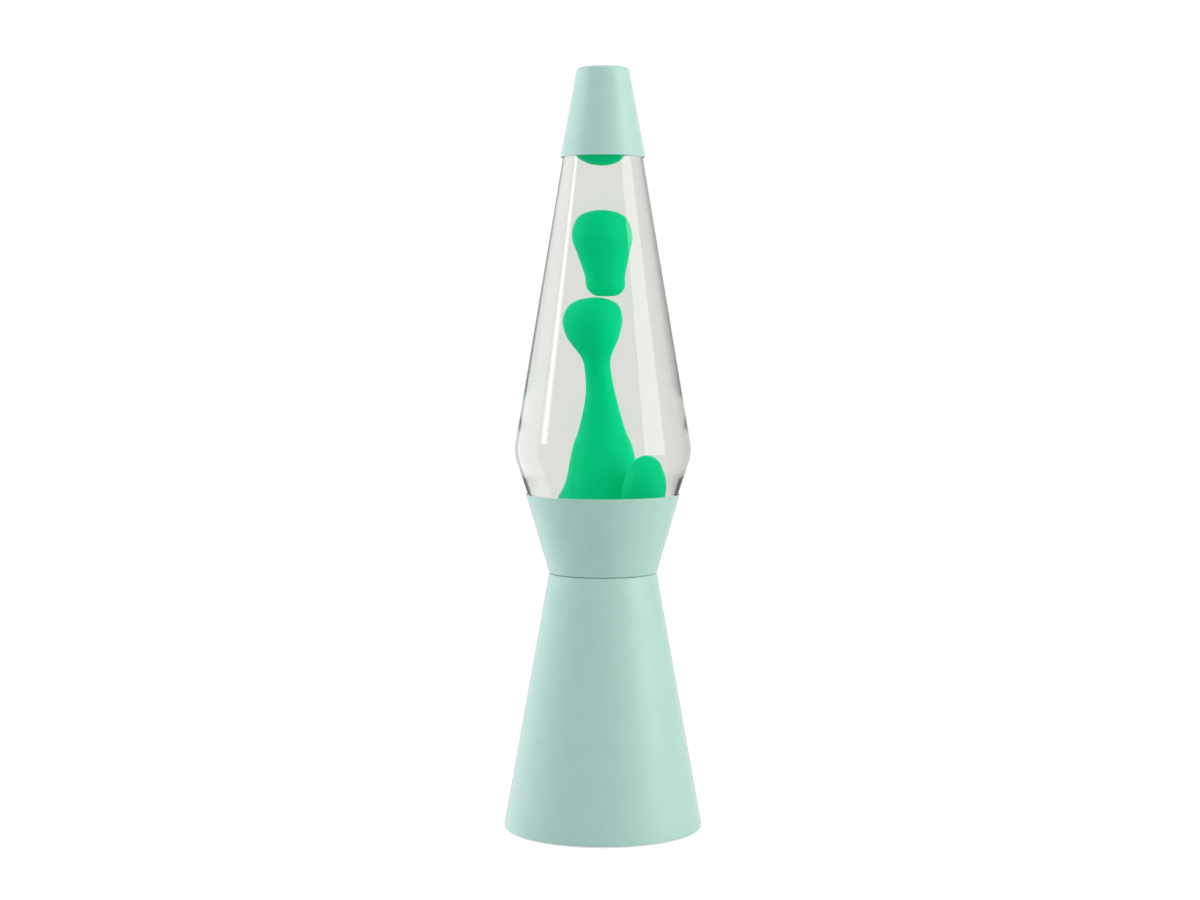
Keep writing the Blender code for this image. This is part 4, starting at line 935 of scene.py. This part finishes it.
# Edges are degrees off the front, between which the room goes from one level to the other.
# Azimuth runs from the front towards +X in degrees; soft is the share of the width that fades at each side.
studioLook = {
    "front": 0.68, "around": 1.03, "frontEdge": (42.0, 74.0),
    "glossFront": 0.03, "glossBack": 0.70, "glossEdge": (140.0, 165.0),
    "backdrop": 1.02, "behindGlass": 0.83,
    "floorSize": 6.5, "floorGlow": 0.60,
    "right": {"azimuth": 71.5, "distance": 1.30, "width": 0.76, "height": 1.70, "low": 0.05, "power": 11.8,
              "colour": (1.0, 0.970, 0.905), "soft": 0.0},
    "left": {"azimuth": -120.0, "distance": 1.30, "width": 1.60, "height": 2.60, "low": -0.85, "power": 20.0,
             "colour": (0.95, 0.985, 1.0), "soft": 0.18, "lightsPaint": False},
    "strip": {"azimuth": -84.0, "distance": 1.25, "width": 0.36, "height": 1.38, "low": 0.42, "power": 11.0,
              "colour": (0.97, 0.99, 1.0), "soft": 0.5},
    "top": {"azimuth": 180.0, "distance": 0.60, "width": 1.20, "height": 1.00, "low": 1.50, "power": 3.0,
            "colour": (1.0, 1.0, 1.0), "soft": 0.2},
}


def makeLight(name, look):
    light = bpy.data.lights.new(name, "AREA")
    light.shape, light.size, light.size_y = "RECTANGLE", look["width"], look["height"]
    light.energy, light.color = look["power"], look["colour"]
    if look["soft"]:
        softenSides(light, look["soft"])
    lamp = bpy.data.objects.new(name, light)
    bpy.context.scene.collection.objects.link(lamp)
    lamp.visible_transmission = False
    lamp.visible_diffuse = look.get("lightsPaint", True)
    angle = math.radians(look["azimuth"])
    across, along = look["distance"] * math.sin(angle), -look["distance"] * math.cos(angle)
    lamp.location = (across, along, look["low"] + look["height"] / 2)
    lamp.rotation_euler = (math.radians(90), 0, angle)
    if name == "top":
        lamp.rotation_euler = (math.radians(20), 0, 0)


def softenSides(light, soft):
    # Strength = smoothstep of the distance to the nearer side edge, over the soft share of the width
    light.use_nodes = True
    tree = light.node_tree
    place, parts, fold, fade = (tree.nodes.new(kind) for kind in (
        "ShaderNodeNewGeometry", "ShaderNodeSeparateXYZ", "ShaderNodeMath", "ShaderNodeMapRange"))
    fold.operation = "PINGPONG"
    fold.inputs[1].default_value = 0.5
    fade.interpolation_type = "SMOOTHSTEP"
    fade.inputs["From Max"].default_value = soft
    tree.links.new(place.outputs["Parametric"], parts.inputs[0])
    tree.links.new(parts.outputs["X"], fold.inputs[0])
    tree.links.new(fold.outputs[0], fade.inputs["Value"])
    tree.links.new(fade.outputs["Result"], tree.nodes["Emission"].inputs["Strength"])


def offFront(tree, front, edges, near, far):
    # Level = smoothstep of the cosine off the front, from one edge to the other
    level = tree.nodes.new("ShaderNodeMapRange")
    level.interpolation_type = "SMOOTHSTEP"
    inner, outer = (math.cos(math.radians(edge)) for edge in edges)
    for key, value in {"From Min": outer, "From Max": inner, "To Min": far, "To Max": near}.items():
        level.inputs[key].default_value = value
    tree.links.new(front.outputs["Value"], level.inputs["Value"])
    return level.outputs["Result"]


def makeRoom(look):
    # The room's level for diffuse rays, for mirrored rays, through glass and straight behind the lamp
    world = bpy.data.worlds.new("studio")
    world.use_nodes = True
    tree = world.node_tree
    place, front, path = (tree.nodes.new(kind) for kind in (
        "ShaderNodeTexCoord", "ShaderNodeVectorMath", "ShaderNodeLightPath"))
    front.operation = "DOT_PRODUCT"
    front.inputs[1].default_value = (0, -1, 0)
    tree.links.new(place.outputs["Generated"], front.inputs[0])
    room = offFront(tree, front, look["frontEdge"], look["front"], look["around"])
    gloss = offFront(tree, front, look["glossEdge"], look["glossFront"], look["glossBack"])
    last = room
    for ray, level in (("Is Glossy Ray", None), ("Is Transmission Ray", look["behindGlass"]),
                       ("Is Camera Ray", look["backdrop"])):
        choice = tree.nodes.new("ShaderNodeMix")
        tree.links.new(path.outputs[ray], choice.inputs["Factor"])
        tree.links.new(last, choice.inputs["A"])
        if level:
            choice.inputs["B"].default_value = level
        else:
            tree.links.new(gloss, choice.inputs["B"])
        last = choice.outputs["Result"]
    tree.links.new(last, tree.nodes["Background"].inputs["Strength"])
    tree.nodes["Background"].inputs["Color"].default_value = (1, 1, 1, 1)
    bpy.context.scene.world = world


def makeFloor(look):
    half = look["floorSize"] / 2
    mesh = bpy.data.meshes.new("floor")
    corners = [(-half, -half, 0), (half, -half, 0), (half, half, 0), (-half, half, 0)]
    mesh.from_pydata(corners, [], [(0, 1, 2, 3)])
    floor = bpy.data.objects.new("floor", mesh)
    bpy.context.scene.collection.objects.link(floor)
    white = newFinish("floorWhite", 0.9, Emission_Strength=look["floorGlow"])
    for key in ("Base Color", "Emission Color"):
        white.node_tree.nodes["Principled BSDF"].inputs[key].default_value = (0.95, 0.95, 0.95, 1)
    mesh.materials.append(white)
    floor.visible_glossy = floor.visible_transmission = floor.visible_diffuse = False  # the room stands in


def makeCamera():
    camera = bpy.data.objects.new("camera", bpy.data.cameras.new("camera"))
    camera.data.lens, camera.data.sensor_width = 66.2, 36.0
    camera.location = (-0.0016, -1.2016, 0.2736)
    camera.rotation_euler = (math.radians(90 - 3.16), 0, 0)
    bpy.context.scene.collection.objects.link(camera)
    bpy.context.scene.camera = camera
    bpy.context.scene.view_settings.view_transform = "Standard"


for name in ("right", "left", "strip", "top"):
    makeLight(name, studioLook[name])
makeRoom(studioLook)
makeFloor(studioLook)
makeCamera()
print("studio made")
